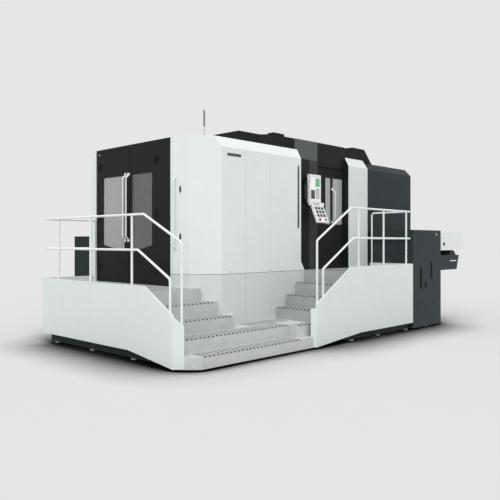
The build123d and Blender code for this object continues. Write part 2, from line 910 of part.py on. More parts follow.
def setup_leaf(y0, y1, hinge_y, inner_edge):
    """One setup door leaf with its window opening, whose foot drops towards the handle, and its pane."""
    leaf = block(setup_x, setup_x + leaf_t, y0 + door_gap / 2, y1 - door_gap / 2, leaf_low_z, leaf_top_z)
    w0, w1 = y0 + leaf_margin, y1 - leaf_margin
    low = [(w0, window_low_z - (window_drop if inner_edge == y0 else 0)),
           (w1, window_low_z - (window_drop if inner_edge == y1 else 0))]
    outline = [low[0], low[1], (w1, window_top_z), (w0, window_top_z)]
    hole = side_y(outline, setup_x - wall, setup_x + 2 * wall)
    pane = side_y(outline, setup_x + window_t, setup_x + 2 * window_t)
    fixed, door = hinge_halves(hinge_y, 1 if hinge_y == y1 else -1)
    return leaf.cut(hole).fuse(*door), pane


def bow_handle(x, y, z0, z1, out, r):
    """Long bar handle with both ends swept back into the door, before they are cut to its face."""
    dx, dy = out
    sweep = handle_sweep * handle_stand
    out_x, out_y = x + dx * handle_stand, y + dy * handle_stand
    in_x, in_y = x - dx * r, y - dy * r
    return bent_tube([(in_x, in_y, z0 - r), (out_x, out_y, z0 + sweep), (out_x, out_y, z1 - sweep),
                      (in_x, in_y, z1 + r)], r, handle_bend)


def hinge_halves(y, into_frame):
    """Three hinges in line beside a jamb: the fixed halves and the door halves, each with its strap."""
    x = setup_x - hinge_off
    zs = (leaf_low_z + hinge_end, (leaf_low_z + leaf_top_z) / 2, leaf_top_z - hinge_end)
    fixed = []
    door = []
    for z in zs:
        for side, group, z0, z1 in ((into_frame, fixed, z - hinge_half, z - hinge_slack),
                                    (-into_frame, door, z + hinge_slack, z + hinge_half)):
            group.append(rod(hinge_r, (x, y, z0), (x, y, z1)))
            ya, yb = sorted((y, y + side * strap_len))
            group.append(block(setup_x - strap_t, setup_x, ya, yb, z0, z1))
    return fixed, door


def operator_frame():
    """Black surround of the operator door with its fascia, its door track and the control panel's mast."""
    x0 = cover_right_x - wall
    sheet = block(x0, column_left_x, fascia_y, roof_y, seam_z + seam_gap, roof_z)
    hole = block(door_edge_x + door_lap, column_left_x, fascia_y - 1, roof_y + 1,
                 operator_door_low_z + door_lap, operator_door_top_z - door_lap)
    track = block(x0 + skin, column_left_x, roof_y, roof_y + operator_door_t,
                  operator_door_top_z + run_gap, operator_door_top_z + wall)
    return sheet.cut(hole).fuse(track, mast_bracket())


def operator_door():
    """Sliding door leaf of the work area, whose lips run behind its frame, and its window pane."""
    x0 = door_edge_x
    x1 = column_left_x - operator_door_gap
    y0 = operator_door_y
    leaf = block(x0, x1, y0, y0 + operator_door_t, operator_door_low_z, operator_door_top_z)
    w0, w1 = operator_window_x, x1 - operator_window_in
    hole = block(w0, w1, y0 - wall, y0 + 2 * wall, operator_window_low_z, operator_window_top_z)
    pane = block(w0, w1, y0 + window_t, y0 + 2 * window_t, operator_window_low_z, operator_window_top_z)
    mullion = block(mullion_x, mullion_x + mullion_w, y0, y0 + operator_door_t, operator_window_low_z,
                    operator_window_top_z)
    return leaf.cut(hole).fuse(mullion), pane.cut(mullion)


def white_column():
    """White cover beside the operator door, with the bevelled top of the main cover."""
    solid = block(column_left_x, column_right_x, main_y, roof_y, seam_z + seam_gap, cover_top_z)
    bevel = front_bevel(main_y, cover_z, cover_top_z, column_left_x - 1, column_right_x + 1)
    in_x, out_x = column_right_x - wall, column_right_x + 1
    corner = side_x([(in_x, cover_top_z), (column_right_x, cover_z), (out_x, cover_z),
                     (out_x, cover_top_z + 1), (in_x, cover_top_z + 1)], main_y - 1, back_y)
    hollow = block(column_left_x + skin, column_right_x - skin, main_y + skin, back_y,
                   0, cover_z - skin)
    return solid.cut(bevel, corner, hollow)


def magazine_cover():
    """Dark cover over the magazine and the column end, hollow, its top bevelled in front and at the end."""
    x0, x1 = column_right_x, magazine_right_x
    body = block(x0, x1, magazine_y, back_y, floor_gap, magazine_top_z)
    bevel = front_bevel(magazine_y, magazine_z, magazine_top_z, x0 - 1, x1 + 1)
    in_x, out_x = x1 - bevel_back, x1 + wall
    over_z = magazine_top_z + wall
    end_bevel = side_x([(x1, magazine_z), (in_x, magazine_top_z), (in_x, over_z), (out_x, over_z),
                        (out_x, magazine_z)], magazine_y - 1, back_y + 1)
    hollow = block(x0 - 1, x1 - wall, magazine_y + wall, back_y - wall, 0, magazine_z - skin)
    attic = block(x0 - 1, in_x - wall, magazine_y + wall + bevel_back, back_y - wall,
                  magazine_z - wall, magazine_top_z - skin)
    return body.cut(bevel, end_bevel, hollow, attic)


def roof():
    """High dark roof over the work area, with the step at its front left and the sloped right end."""
    top = roof_z + roof_rise
    foot_x = roof_end_x + top - magazine_top_z
    profile = [(roof_left_x, cover_top_z), (roof_left_x, roof_z), (roof_rise_x, roof_z), (roof_flat_x, top),
               (roof_end_x, top), (foot_x, magazine_top_z), (column_right_x, magazine_top_z),
               (column_right_x, cover_top_z)]
    body = side_x(profile, roof_y, back_y)
    inner = side_x([(roof_left_x + wall, cover_top_z - wall), (roof_left_x + wall, roof_z - wall),
                    (roof_end_x - wall, roof_z - wall), (roof_end_x - wall, cover_top_z - wall)],
                   roof_y + wall, back_y - wall)
    near_x = roof_step_x + roof_step / 2
    far_y = roof_y + roof_step / 2
    step = plan([(roof_left_x - wall, roof_y - wall), (near_x, roof_y - wall), (near_x, roof_y),
                 (roof_step_x, far_y), (roof_left_x - wall, far_y)], cover_top_z - 2 * wall, roof_z + 2 * wall)
    behind = plan([(roof_left_x, far_y), (roof_step_x, far_y), (near_x, roof_y), (near_x + wall, roof_y),
                   (near_x + wall, roof_y + wall), (roof_step_x + skin, far_y + wall), (roof_left_x, far_y + wall)],
                  cover_top_z, roof_z)
    hatch = block(near_x + wall, near_x + roof_step, roof_y + skin, far_y, roof_z, roof_z + hatch_h)
    return body.cut(inner).cut(step).fuse(behind, hatch)


def low_roof():
    """Light roof over the setup station and the changer, with the back wall and the splash wall's wings."""
    outer, inner = band(cover_outline, cover_top_z - wall, cover_top_z, wall)
    inner = inner.cut(front_bevel(main_y + wall, cover_z - skin, cover_top_z, facet_b_x, cover_right_x + 1))
    x0 = setup_x + wall
    join_y = setup_near_y - wall - 1
    rest = plan([(x0, join_y), (cover_right_x - wall, join_y), (cover_right_x - wall, roof_y),
                 (column_right_x, roof_y), (column_right_x, back_y - wall), (notch_x, back_y - wall),
                 (notch_x, notch_y - wall), (x0 + wall, notch_y - wall), (x0 + wall, setup_far_y),
                 (x0, setup_far_y)], cover_top_z - wall, cover_top_z)
    back = block(notch_x, column_right_x, back_y - wall, back_y, floor_gap, cover_top_z)
    wings = [block(changer_x - skin, changer_x + skin, y0, y1, floor_gap, cover_top_z - wall)
             for y0, y1 in ((main_y + wall, work_y - wing_r), (work_y + wing_r, back_y - wall))]
    slope = front_bevel(main_y + wall, cover_z - skin, cover_top_z, changer_x - wall, changer_x + wall)
    return inner.fuse(rest, back, *[wing.cut(slope) for wing in wings])


def bed():
    """T-shaped cast bed with its guide rails: the table ways in front, the column ways across behind."""
    y0, y1 = work_y - bed_w / 2, work_y + bed_w / 2
    front = side_y([(y0, bed_low_z), (y0, bed_knee_z), (y0 + bed_taper, way_z), (y1 - bed_taper, way_z),
                    (y1, bed_knee_z), (y1, bed_low_z)], bed_x0, bed_x1)
    cross = block(bed_x1, bed_x2, cross_y0, cross_y1, bed_low_z, way_z)
    trough = block(bed_x0 + 3 * wall, bed_x1 - 2 * wall, work_y - trough_w / 2, work_y + trough_w / 2,
                   way_z - trough_d, way_z + 1)
    rails = [block(bed_x0 + skin, bed_x1 - skin, y - rail_t / 2, y + rail_t / 2, way_z, way_z + rail_t)
             for y in (work_y - table_rails / 2, work_y + table_rails / 2)]
    rails += [block(x - rail_t / 2, x + rail_t / 2, cross_y0 + skin, cross_y1 - skin, way_z, way_z + rail_t)
              for x in (column_x + column_rail_in, column_x + column_foot - column_rail_in)]
    brackets = [block(x, x + bracket_w, y0, y1, bracket_z, bracket_z + bracket_w)
                for x in bracket_xs
                for y0, y1 in ((main_y + wall, work_y - bed_w / 2), (work_y + bed_w / 2, back_y - wall))]
    return front.fuse(cross).cut(trough).fuse(*rails, *brackets)


def column():
    """Travelling column: a tapered casting with a window behind the spindle head, and its upright ways."""
    y0, y1 = work_y - column_w / 2, work_y + column_w / 2
    low = way_z + rail_t
    foot_x = column_x + column_foot
    body = side_x([(column_x, low), (foot_x, low), (foot_x, low + column_foot_h),
                   (column_x + column_head, column_top_z), (column_x, column_top_z)], y0, y1)
    window = block(column_x - 1, right_x, y0 + column_side, y1 - column_side, head_way_low_z,
                   column_top_z - column_bridge)
    ways = [block(column_x - rail_t, column_x, y, y + rail_t, head_way_low_z, column_top_z - way_top)
            for y in (y0 + rail_t, y1 - 2 * rail_t)]
    return body.cut(window).fuse(*ways)


def spindle_head():
    """Head casting that slides on the column, bored for the spindle."""
    y0, y1 = work_y - head_w / 2, work_y + head_w / 2
    front = column_x - rail_t
    profile = [(y0, -head_h), (y0, head_h), (y1, head_h), (y1, -head_h)]
    body = side_y([(y, spindle_z + z) for y, z in profile], head_x + nose_len, front)
    nose = extrude(Plane((head_x, work_y, spindle_z), z_dir=(1, 0, 0)) * Circle(spindle_r + nose_wall),
                   nose_len + 1, taper=nose_taper)
    bore = rod(spindle_r + run_clear, (head_x - wall, work_y, spindle_z),
               (column_x - shaft_back + 1, work_y, spindle_z))
    return body.fuse(nose).cut(bore)


def spindle():
    """Spindle shaft with its nose flange and taper socket."""
    shaft = rod(spindle_r, (head_x - shaft_out, work_y, spindle_z), (column_x - shaft_back, work_y, spindle_z))
    socket = Plane((head_x - shaft_out - 1, work_y, spindle_z), z_dir=(1, 0, 0)) * Circle(socket_r)
    return shaft.cut(extrude(socket, socket_d, taper=socket_taper))


def milling_tool():
    """Tool holder with a face mill, seated in the spindle."""
    x = head_x - shaft_out
    shank = x - holder_flange
    neck = shank - holder_len
    points = [(x + taper_len, 0), (x + taper_len, taper_tip_r), (x, taper_r), (x, flange_r),
              (shank, flange_r), (shank, holder_r), (neck, holder_r), (neck, cutter_r), (neck - cutter_len, cutter_r),
              (neck - cutter_len, 0)]
    face = make_face(Polyline(*[(px, work_y, spindle_z + pr) for px, pr in points], close=True))
    return revolve(face, Axis((0, work_y, spindle_z), (1, 0, 0)))


def table_saddle():
    """Table slide on the guide rails."""
    low = way_z + rail_t
    outline = [(work_y + side * half, z) for side, half, z in (
        (-1, saddle_foot, low), (-1, saddle_foot, low + saddle_lip), (-1, saddle_top, table_low_z),
        (1, saddle_top, table_low_z), (1, saddle_foot, low + saddle_lip), (1, saddle_foot, low))]
    return side_y(outline, table_x - saddle_len / 2, table_x + saddle_len / 2)


def rotary_table():
    """Rotary table with its centring cone, under the pallet."""
    base = rod(table_r, (table_x, work_y, table_low_z), (table_x, work_y, pallet_z - pallet_t))
    ring = rod(table_r + table_ring, (table_x, work_y, table_low_z),
               (table_x, work_y, table_low_z + table_ring_h))
    return base.fuse(ring)


def pallet(x):
    """Square pallet with cut corners and a grid of T slots."""
    half = pallet_size / 2
    flat = half - pallet_cut
    outline = [(x + dx, work_y + dy) for dx, dy in (
        (-half, -flat), (-flat, -half), (flat, -half), (half, -flat),
        (half, flat), (flat, half), (-flat, half), (-half, flat))]
    plate = plan(outline, pallet_z - pallet_t, pallet_z)
    cuts = []
    for i in (-1, 0, 1):
        y = work_y + i * pallet_size / 4
        cuts.append(block(x - half - 1, x + half + 1, y - t_slot_w / 2, y + t_slot_w / 2,
                          pallet_z - t_slot_d, pallet_z + 1))
        cuts.append(block(x - half - 1, x + half + 1, y - t_slot_wide / 2, y + t_slot_wide / 2,
                          pallet_z - t_slot_d, pallet_z - t_slot_neck))
    return plate.cut(*cuts)


def fixture_cube(x):
    """Tombstone fixture standing on a pallet."""
    half = cube_w / 2
    out = half + cube_foot
    tower_z = pallet_z + cube_foot_t
    foot = block(x - out, x + out, work_y - out, work_y + out, pallet_z, tower_z)
    tower = block(x - half, x + half, work_y - half, work_y + half, tower_z, pallet_z + cube_h)
    cross = []
    for i in range(1, cube_slots + 1):
        z = pallet_z + i * cube_slot_step
        cross.append(block(x - half - 1, x + half + 1, work_y - cube_slot / 2, work_y + cube_slot / 2, z,
                           z + cube_slot))
    return foot.fuse(tower).cut(*cross)


def changer_base():
    """Pedestal of the pallet changer, bored for the lift post."""
    base = rod(post_r + pedestal_wall, (changer_x, work_y, 0.0), (changer_x, work_y, pedestal_z))
    flange = rod(post_r + pedestal_flange, (changer_x, work_y, 0.0), (changer_x, work_y, pedestal_flange_t))
    bore = rod(post_r + run_clear, (changer_x, work_y, post_hole_z), (changer_x, work_y, pedestal_z + 1))
    link = block(changer_x, bed_x0, work_y - post_r, work_y + post_r, 0.0, link_h)
    return base.fuse(flange, link).cut(bore)


def lift_post():
    """Lift post under the changer arm."""
    return rod(post_r, (changer_x, work_y, post_low_z), (changer_x, work_y, lift_top_z))


def changer_arm():
    """Two-ended fork of the pallet changer, with the splash wall that turns with it."""
    hub = rod(post_r + hub_wall, (changer_x, work_y, lift_top_z), (changer_x, work_y, fork_z + fork_t))
    reach = changer_r + tine_over
    side = fork_gap + fork_w
    cross = block(changer_x - fork_cross, changer_x + fork_cross, work_y - side, work_y + side,
                  fork_z, fork_z + fork_t)
    tines = []
    for y0 in (work_y - side, work_y + fork_gap):
        tines.append(block(changer_x - reach, changer_x + reach, y0, y0 + fork_w, fork_z, fork_z + fork_t))
    splash = block(changer_x - skin, changer_x + skin, work_y - splash_r, work_y + splash_r, fork_z + fork_t,
                   splash_top_z)
    return hub.fuse(cross, *tines, splash)


def magazine_wheel():
    """Disc of the tool magazine with its ring of tool pots."""
    axis = Plane((wheel_x, wheel_y, wheel_z), z_dir=(0, 1, 0))
    disc = extrude(axis * Circle(wheel_r), disc_t)
    windows = []
    for i in range(disc_windows):
        turn = radians(360 * i / disc_windows)
        place = Pos(disc_window_ring * cos(turn), disc_window_ring * sin(turn))
        windows.append(extrude(axis * place * Circle(disc_window_r), disc_t + 1))
    disc = disc.cut(*windows)
    hub = extrude(axis * Circle(wheel_hub_r), wheel_hub_t)
    ring = wheel_r - pot_r - pot_edge
    pots = []
    for i in range(pot_count):
        turn = radians(360 * i / pot_count)
        px = wheel_x + ring * cos(turn)
        pz = wheel_z + ring * sin(turn)
        pots.append(rod(pot_r, (px, wheel_y, pz), (px, wheel_y + pot_len, pz)))
    bore = rod(wheel_shaft_r + run_clear, (wheel_x, wheel_y - 1, wheel_z),
               (wheel_x, wheel_y + wheel_hub_t + 1, wheel_z))
    return disc.fuse(hub, *pots).cut(bore)


def magazine_stand():
    """Post and shaft that carry the magazine wheel."""
    y0 = magazine_y + wall
    y1 = wheel_y - stand_gap
    post = block(wheel_x - stand_w / 2, wheel_x + stand_w / 2, y0, y1, 0, wheel_z + stand_over)
    shaft = rod(wheel_shaft_r, (wheel_x, y1, wheel_z), (wheel_x, wheel_y + wheel_shaft_len, wheel_z))
    return post.fuse(shaft)


def tool_arm_housing():
    """Gearbox of the tool change arm on its own pillar, with the bore for the arm's shaft."""
    y0, y1 = arm_y - gearbox_w / 2, arm_y + gearbox_w / 2
    x0 = arm_x + gearbox_gap
    low = spindle_z - gearbox_h / 2
    gearbox = block(x0, column_x - rail_t - skin, y0, y1, low, low + gearbox_h)
    pillar = block(x0 + pillar_in, bed_x1, y0, y1, 0, low)
    foot = block(x0 + skin, bed_x1, y0 - arm_foot_out, y1 + arm_foot_in, 0, arm_foot_t)
    bore = rod(arm_shaft_r + run_clear, (x0 - 1, arm_y, spindle_z),
               (arm_x + arm_shaft_len + 1, arm_y, spindle_z))
    return gearbox.fuse(pillar, foot).cut(bore)


def tool_arm():
    """Double-ended tool change arm with a claw at each end."""
    x0, x1 = arm_x - arm_t / 2, arm_x + arm_t / 2
    shaft = rod(arm_shaft_r, (x0, arm_y, spindle_z), (arm_x + arm_shaft_len, arm_y, spindle_z))
    bar = block(x0, x1, arm_y - arm_w / 2, arm_y + arm_w / 2, spindle_z - arm_reach, spindle_z + arm_reach)
    rings = []
    cuts = []
    for side in (-1, 1):
        z = spindle_z + side * arm_reach
        rings.append(rod(claw_r, (x0, arm_y, z), (x1, arm_y, z)))
        cuts.append(rod(claw_bore_r, (x0 - 1, arm_y, z), (x1 + 1, arm_y, z)))
        cuts.append(block(x0 - 1, x1 + 1, arm_y, arm_y + 2 * claw_r, z - claw_mouth / 2, z + claw_mouth / 2))
    return shaft.fuse(bar, *rings).cut(*cuts)


def tank_cabinet():
    """Dark cabinet over the coolant tank, with its foot panel, pump box and service plate."""
    body = block(cab_x0, cab_x1, front_y + cab_door_t, cab_back_y, floor_gap, cab_z)
    inside = block(cab_x0 + skin, cab_x1 - skin, front_y - 1, cab_back_y - skin, cab_door_z, cab_z - skin)
    foot = block(cab_x0, cab_x1, front_y, front_y + cab_door_t, floor_gap, cab_door_z - foot_panel_gap)
    pump = block(cab_x1, cab_x1 + pump_w, pump_y0, pump_y1, floor_gap, pump_z)
    guard = side_x([(cab_x1, guard_low_z), (cab_x1 + guard_w, guard_low_z + guard_slope),
                    (cab_x1 + guard_w, guard_top_z - guard_drop), (cab_x1, guard_top_z)], guard_y0, guard_y1)
    return body.cut(inside).fuse(foot, pump, guard)


def tank_door():
    """Cabinet door with three upright vents."""
    door = block(cab_x0 + tank_door_gap, cab_x1, front_y, front_y + cab_door_t, cab_door_z, cab_z)
    vents = [block(cab_x0 + x, cab_x0 + x + vent_w, front_y - 1, front_y + cab_door_t + 1, low, high)
             for x, low, high in vent_places]
    return door.cut(*vents)


def chip_conveyor():
    """Discharge head of the chip conveyor, with its sloped chute end and drive hump."""
    head = side_x([(cab_x1, chute_low_z), (cab_x1, chute_top_z), (chute_x1, chute_top_z),
                   (chute_x1 - chute_slope, chute_low_z)], chute_y0, chute_y1)
    mouth = block(cab_x1 + mouth_from, chute_x1 - mouth_to, chute_y0 + mouth_side, chute_y1 - mouth_side,
                  chute_low_z - 1, chute_top_z - mouth_roof)
    hump_x = chute_x1 - hump_in
    hump_z = chute_top_z - hump_low
    hump = rod(hump_r, (hump_x, hump_y0, hump_z), (hump_x, hump_y1, hump_z))
    return head.fuse(hump).cut(mouth)


def mist_collector():
    """White mist collector box on its bracket above the chute."""
    body = block(cab_x1 + mist_gap, right_x, chute_y0, chute_y0 + mist_depth, mist_low_z, mist_top_z)
    bracket = block(cab_x1, cab_x1 + mist_gap + 1, chute_y0 + mist_bracket_in,
                    chute_y0 + mist_depth - mist_bracket_in, mist_low_z + mist_bracket_low,
                    mist_top_z - mist_bracket_in)
    return body.fuse(bracket)


def electric_cabinet():
    """Dark electric cabinet in the notch behind the setup platform."""
    x0, x1 = electric_x, notch_x - wall
    y0, y1 = notch_y, electric_back_y
    door_y0, door_y1 = y0 + electric_door_in, y1 - electric_door_in
    low, high = electric_low_z, electric_top_z - electric_door_in
    back_x = x0 + cab_door_t
    body = block(x0, x1, y0, y1, floor_gap, electric_top_z)
    door_rebate = block(x0 - 1, back_x, door_y0, door_y1, low, high)
    inside = block(back_x + skin, x1 - skin, y0 + skin, y1 - skin, low, high)
    opening = block(x0 - 1, back_x + skin + 1, y0 + wall, y1 - wall, low + skin, high - skin)
    door = block(x0, back_x, door_y0 + electric_gap, door_y1 - electric_gap, low + electric_gap,
                 high - electric_gap)
    return body.cut(door_rebate, inside, opening), door


def panel_housing():
    """Screen housing with its sleeve on the mast, its front pocket and its lower lugs."""
    body = block(panel_x0, panel_x1, panel_y, panel_y + screen_t, screen_low_z, screen_top_z)
    pocket = block(panel_x0 + bezel, panel_x1 - bezel, panel_y - 1, panel_y + screen_d,
                   screen_low_z + bezel_foot, screen_top_z - bezel_foot)
    low, high = screen_low_z + sleeve_low, screen_top_z - sleeve_high
    sleeve = rod(mast_r + sleeve_wall, (mast_x, mast_y, low), (mast_x, mast_y, high))
    web = block(mast_x, panel_x0 + web_in, panel_y + screen_t - web_lap, mast_y, low, high)
    bore = rod(mast_r + run_clear, (mast_x, mast_y, low - 1), (mast_x, mast_y, high + 1))
    lugs = [block(x, x + lug_w, key_y - lug_front, key_y + lug_rear, key_z - lug_front, screen_low_z + lug_up)
            for x in (panel_x0, panel_x1 - lug_w)]
    pin_hole = rod(pin_r + run_clear, (panel_x0 - 1, key_y, key_z), (panel_x1 + 1, key_y, key_z))
    return body.fuse(sleeve, web, *lugs).cut(pocket, bore, pin_hole)


def screen():
    """Screen in the front pocket of its housing."""
    side = bezel + screen_gap
    foot = bezel_foot + screen_gap
    return block(panel_x0 + side, panel_x1 - side, panel_y + screen_back, panel_y + screen_d,
                 screen_low_z + foot, screen_top_z - foot)


def on_keys(x, s, n):
    """A point on the keyboard: x, then down its face, then out of it."""
    return (x, key_y + along[1] * s + outward[1] * n, key_z + along[2] * s + outward[2] * n)


def key_plate(x0, x1, s0, s1, n0, n1):
    """A slab on the tilted keyboard."""
    outline = [on_keys(0, s, n)[1:] for s, n in ((s0, n0), (s1, n0), (s1, n1), (s0, n1))]
    return side_y(outline, x0, x1)


def keyboard():
    """Tilted keyboard housing on its hinge tube, with its blocks of keys."""
    plate = key_plate(panel_x0, panel_x1, key_gap, key_gap + key_len, -key_t / 2, key_t / 2)
    pivot = rod(pin_r, (panel_x0 - pin_out, key_y, key_z), (panel_x1 + pin_out, key_y, key_z))
    arm_in = lug_w + knuckle_gap
    arms = [key_plate(x, x + key_arm_w, -key_arm_lap, key_gap + knuckle_gap, -pin_r, pin_r)
            for x in (panel_x0 + arm_in, panel_x1 - arm_in - key_arm_w)]
    knobs = [rod(knuckle_r, (x, key_y, key_z), (x + knuckle_w, key_y, key_z))
             for x in (panel_x0 - knuckle_gap - knuckle_w, panel_x1 + knuckle_gap)]
    face = key_t / 2
    recess = key_plate(panel_x0 + recess_side, panel_x1 - recess_side, key_gap + recess_side,
                       key_gap + recess_len, face - recess_d, key_t)
    holes = [rod(r + run_clear, on_keys(x, button_s, face - button_d), on_keys(x, button_s, key_t))
             for x, r in ((stop_x, stem_r), (dial_x, knob_r))]
    return plate.fuse(pivot, *arms, *knobs).cut(recess, *holes).fuse(*key_caps())


def key_caps():
    """Blocks of keys in the keyboard's recess."""
    caps = []
    face = key_t / 2
    for col in range(cap_cols):
        for row in range(cap_rows):
            x0 = panel_x0 + cap_in_x + col * cap_step_x
            s0 = key_gap + cap_in_s + row * cap_step_s
            caps.append(key_plate(x0, x0 + cap_w, s0, s0 + cap_h, face - recess_d, face - recess_d + cap_t))
    return caps


def stop_button():
    """Mushroom stop button: its stem in the hole, its head above."""
    face = key_t / 2
    stem = rod(stem_r, on_keys(stop_x, button_s, face - button_d / 2),
               on_keys(stop_x, button_s, face + stop_stem))
    head = rod(knob_r + stop_head, on_keys(stop_x, button_s, face + stop_head_low),
               on_keys(stop_x, button_s, face + stop_head_high))
    return stem.fuse(head)


def feed_dial():
    """Feed override dial with a pointer notch."""
    face = key_t / 2
    base = rod(knob_r, on_keys(dial_x, button_s, face - button_d + run_gap),
               on_keys(dial_x, button_s, face + dial_h))
    notch = key_plate(dial_x - dial_notch / 2, dial_x + dial_notch / 2, button_s - knob_r - 2, button_s,
                      face + dial_h - dial_notch_d, face + dial_h + 1)
    return base.cut(notch)


def mast_bracket():
    """Mast between two lugs on the fascia."""
    low, high = screen_low_z + mast_low, screen_top_z - mast_high
    mast = rod(mast_r, (mast_x, mast_y, low), (mast_x, mast_y, high))
    lugs = [block(mast_x - bracket_half, mast_x + bracket_half, mast_y - bracket_half, fascia_y,
                  z, z + bracket_t)
            for z in (low, high - bracket_t)]
    return mast.fuse(*lugs)


def foot_pads():
    """Places and heights of the levelling feet."""
    pads = [(left_x + left_plinth_set + foot_r, y, floor_gap) for y in left_foot_ys]
    pads += [(x, front_y + plinth_set + foot_r, floor_gap) for x in right_foot_xs]
    pads += [(x, y, bed_low_z) for x in bed_foot_xs for y in (work_y - bed_foot_set, work_y + bed_foot_set)]
    return pads


def levelling_feet():
    """Round feet under the platform bases, the tank and the bed."""
    return [rod(foot_r, (x, y, 0.0), (x, y, tall)) for x, y, tall in foot_pads()]


def grab_bar():
    """Upright grab bar on the corner facet, its ends cut to the cover."""
    x, y = on_first_facet(grab_share)
    bar = bent_tube([(x + grab_r, y, grab_low_z), (x - grab_stand, y, grab_low_z + grab_end),
                     (x - grab_stand, y, grab_top_z - grab_end), (x + grab_r, y, grab_top_z)], grab_r, grab_bend)
    return bar.cut(main_cover())


def signal_rod():
    """Slim signal lamp standing on the low roof."""
    x, y = signal_x, signal_y
    stem_z = cover_top_z + signal_stem
    foot = rod(signal_foot_r, (x, y, cover_top_z), (x, y, cover_top_z + signal_foot_t))
    stem = rod(signal_stem_r, (x, y, cover_top_z), (x, y, stem_z + 1))
    lamp = rod(signal_r, (x, y, stem_z), (x, y, signal_top_z))
    return stem.fuse(foot, lamp)


def build():
    os.makedirs("parts", exist_ok=True)
    save("lower_steps", lower_steps())
    save("left_flight", left_flight())
    save("left_deck", left_deck())
    save("right_flight", right_flight())
    save("right_deck", right_deck())
    save("left_panel", left_panel())
    save("right_panel", right_panel())
    save("left_handrail", handrail_left())
    save("right_handrail", handrail_right())
    save("left_plinth", plinth_left())
    save("right_plinth", plinth_right())
    save("levelling_feet", *levelling_feet())
    save("main_cover", main_cover())
    save("status_light", led_strip())
    save("lower_wall", lower_wall())
    save("corner_post", corner_post())
    save("setup_frame", setup_frame())
    save("operator_frame", operator_frame())
    save("white_column", white_column())
    save("magazine_cover", magazine_cover())
    save("high_roof", roof())
    save("low_roof", low_roof())
    save("grab_bar", grab_bar())
    save("signal_rod", signal_rod())
    far_leaf, far_pane = setup_leaf(leaf_split_y, leaf_far_y, leaf_far_y, leaf_split_y)
    near_leaf, near_pane = setup_leaf(leaf_near_y, leaf_split_y, leaf_near_y, leaf_split_y)
    save("far_leaf", far_leaf)
    save("far_window", far_pane)
    save("near_leaf", near_leaf)
    save("near_window", near_pane)
    for name, leaf, side in (("far_handle", far_leaf, 1), ("near_handle", near_leaf, -1)):
        handle_y = leaf_split_y + side * handle_from_split
        save(name, bow_handle(setup_x, handle_y, handle_low_z, handle_top_z, (-1, 0), handle_r).cut(leaf))
    leaf, pane = operator_door()
    save("operator_door", leaf)
    save("operator_window", pane)
    bow = bow_handle(operator_handle_x, operator_door_y, operator_handle_low_z, operator_handle_top_z, (0, -1),
                     operator_handle_r)
    save("operator_handle", bow.cut(leaf))
    save("screen_housing", panel_housing())
    save("screen", screen())
    save("keyboard", keyboard())
    save("stop_button", stop_button())
    save("feed_dial", feed_dial())
    save("bed", bed())
    save("column", column())
    save("spindle_head", spindle_head())
    save("spindle", spindle())
    save("milling_tool", milling_tool())
    save("table_saddle", table_saddle())
    save("rotary_table", rotary_table())
    save("work_pallet", pallet(table_x).fuse(fixture_cube(table_x)))
    save("setup_pallet", pallet(changer_x - changer_r).fuse(fixture_cube(changer_x - changer_r)))
    save("changer_base", changer_base())
    save("lift_post", lift_post())
    save("changer_arm", changer_arm())
    save("magazine_wheel", magazine_wheel())
    save("magazine_stand", magazine_stand())
    save("tool_arm_housing", tool_arm_housing())
    save("tool_arm", tool_arm())
    save("tank_cabinet", tank_cabinet())
    save("tank_door", tank_door())
    save("chip_conveyor", chip_conveyor())
    save("mist_collector", mist_collector())
    cabinet, door = electric_cabinet()
    save("electric_cabinet", cabinet)
    save("electric_door", door)


build()
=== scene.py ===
# %% [markdown]
# # A large horizontal machining centre
# The machine is a white and black sheet-steel enclosure on two stepped
# platforms. Its solids come in already placed, so this lesson only dresses
# them: finishes first, then the small pieces that a solid model leaves out,
# then the floor, the light and the camera.

import json
import math

import bmesh
import bpy
from mathutils import Matrix, Vector
from mathutils.bvhtree import BVHTree


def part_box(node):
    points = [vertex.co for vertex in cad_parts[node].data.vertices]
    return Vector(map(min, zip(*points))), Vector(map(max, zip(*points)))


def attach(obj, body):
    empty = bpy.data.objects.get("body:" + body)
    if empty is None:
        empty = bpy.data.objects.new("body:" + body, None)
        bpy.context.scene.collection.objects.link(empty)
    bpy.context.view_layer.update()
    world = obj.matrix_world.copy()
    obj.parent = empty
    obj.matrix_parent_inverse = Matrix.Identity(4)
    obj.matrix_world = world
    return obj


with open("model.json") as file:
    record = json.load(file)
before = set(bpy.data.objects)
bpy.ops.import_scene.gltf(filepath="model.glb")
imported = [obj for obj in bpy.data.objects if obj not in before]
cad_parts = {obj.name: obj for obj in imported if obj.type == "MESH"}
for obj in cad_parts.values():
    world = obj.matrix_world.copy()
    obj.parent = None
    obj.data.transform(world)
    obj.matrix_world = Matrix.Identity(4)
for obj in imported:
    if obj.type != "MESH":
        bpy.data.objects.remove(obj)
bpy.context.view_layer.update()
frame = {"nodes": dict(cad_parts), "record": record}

# %% [markdown]
# ## Colours and nodes
# Paint makers give a colour as the eye sees it, while a renderer works with
# linear light, so one function turns a hex colour into linear values. A
# second one adds a node, sets it and links it, and every finish below is
# made with nothing else.

# %% Colour and node helpers
MM = 0.001


def colour(code):
    """The linear red, green, blue and alpha of an sRGB hex colour."""
    parts = [int(code[i:i + 2], 16) / 255 for i in (1, 3, 5)]
    linear = [c / 12.92 if c <= 0.04045 else ((c + 0.055) / 1.055) ** 2.4 for c in parts]
    return (*linear, 1.0)


def add(tree, kind, links=None, **settings):
    """Adds one node, with its settings and with a value or a link for each named socket."""
    node = tree.nodes.new(kind)
    for name, value in settings.items():
        setattr(node, name, value)
    for socket, value in (links or {}).items():
        if isinstance(value, bpy.types.NodeSocket):
            tree.links.new(value, node.inputs[socket])
        else:
            node.inputs[socket].default_value = value
    return node


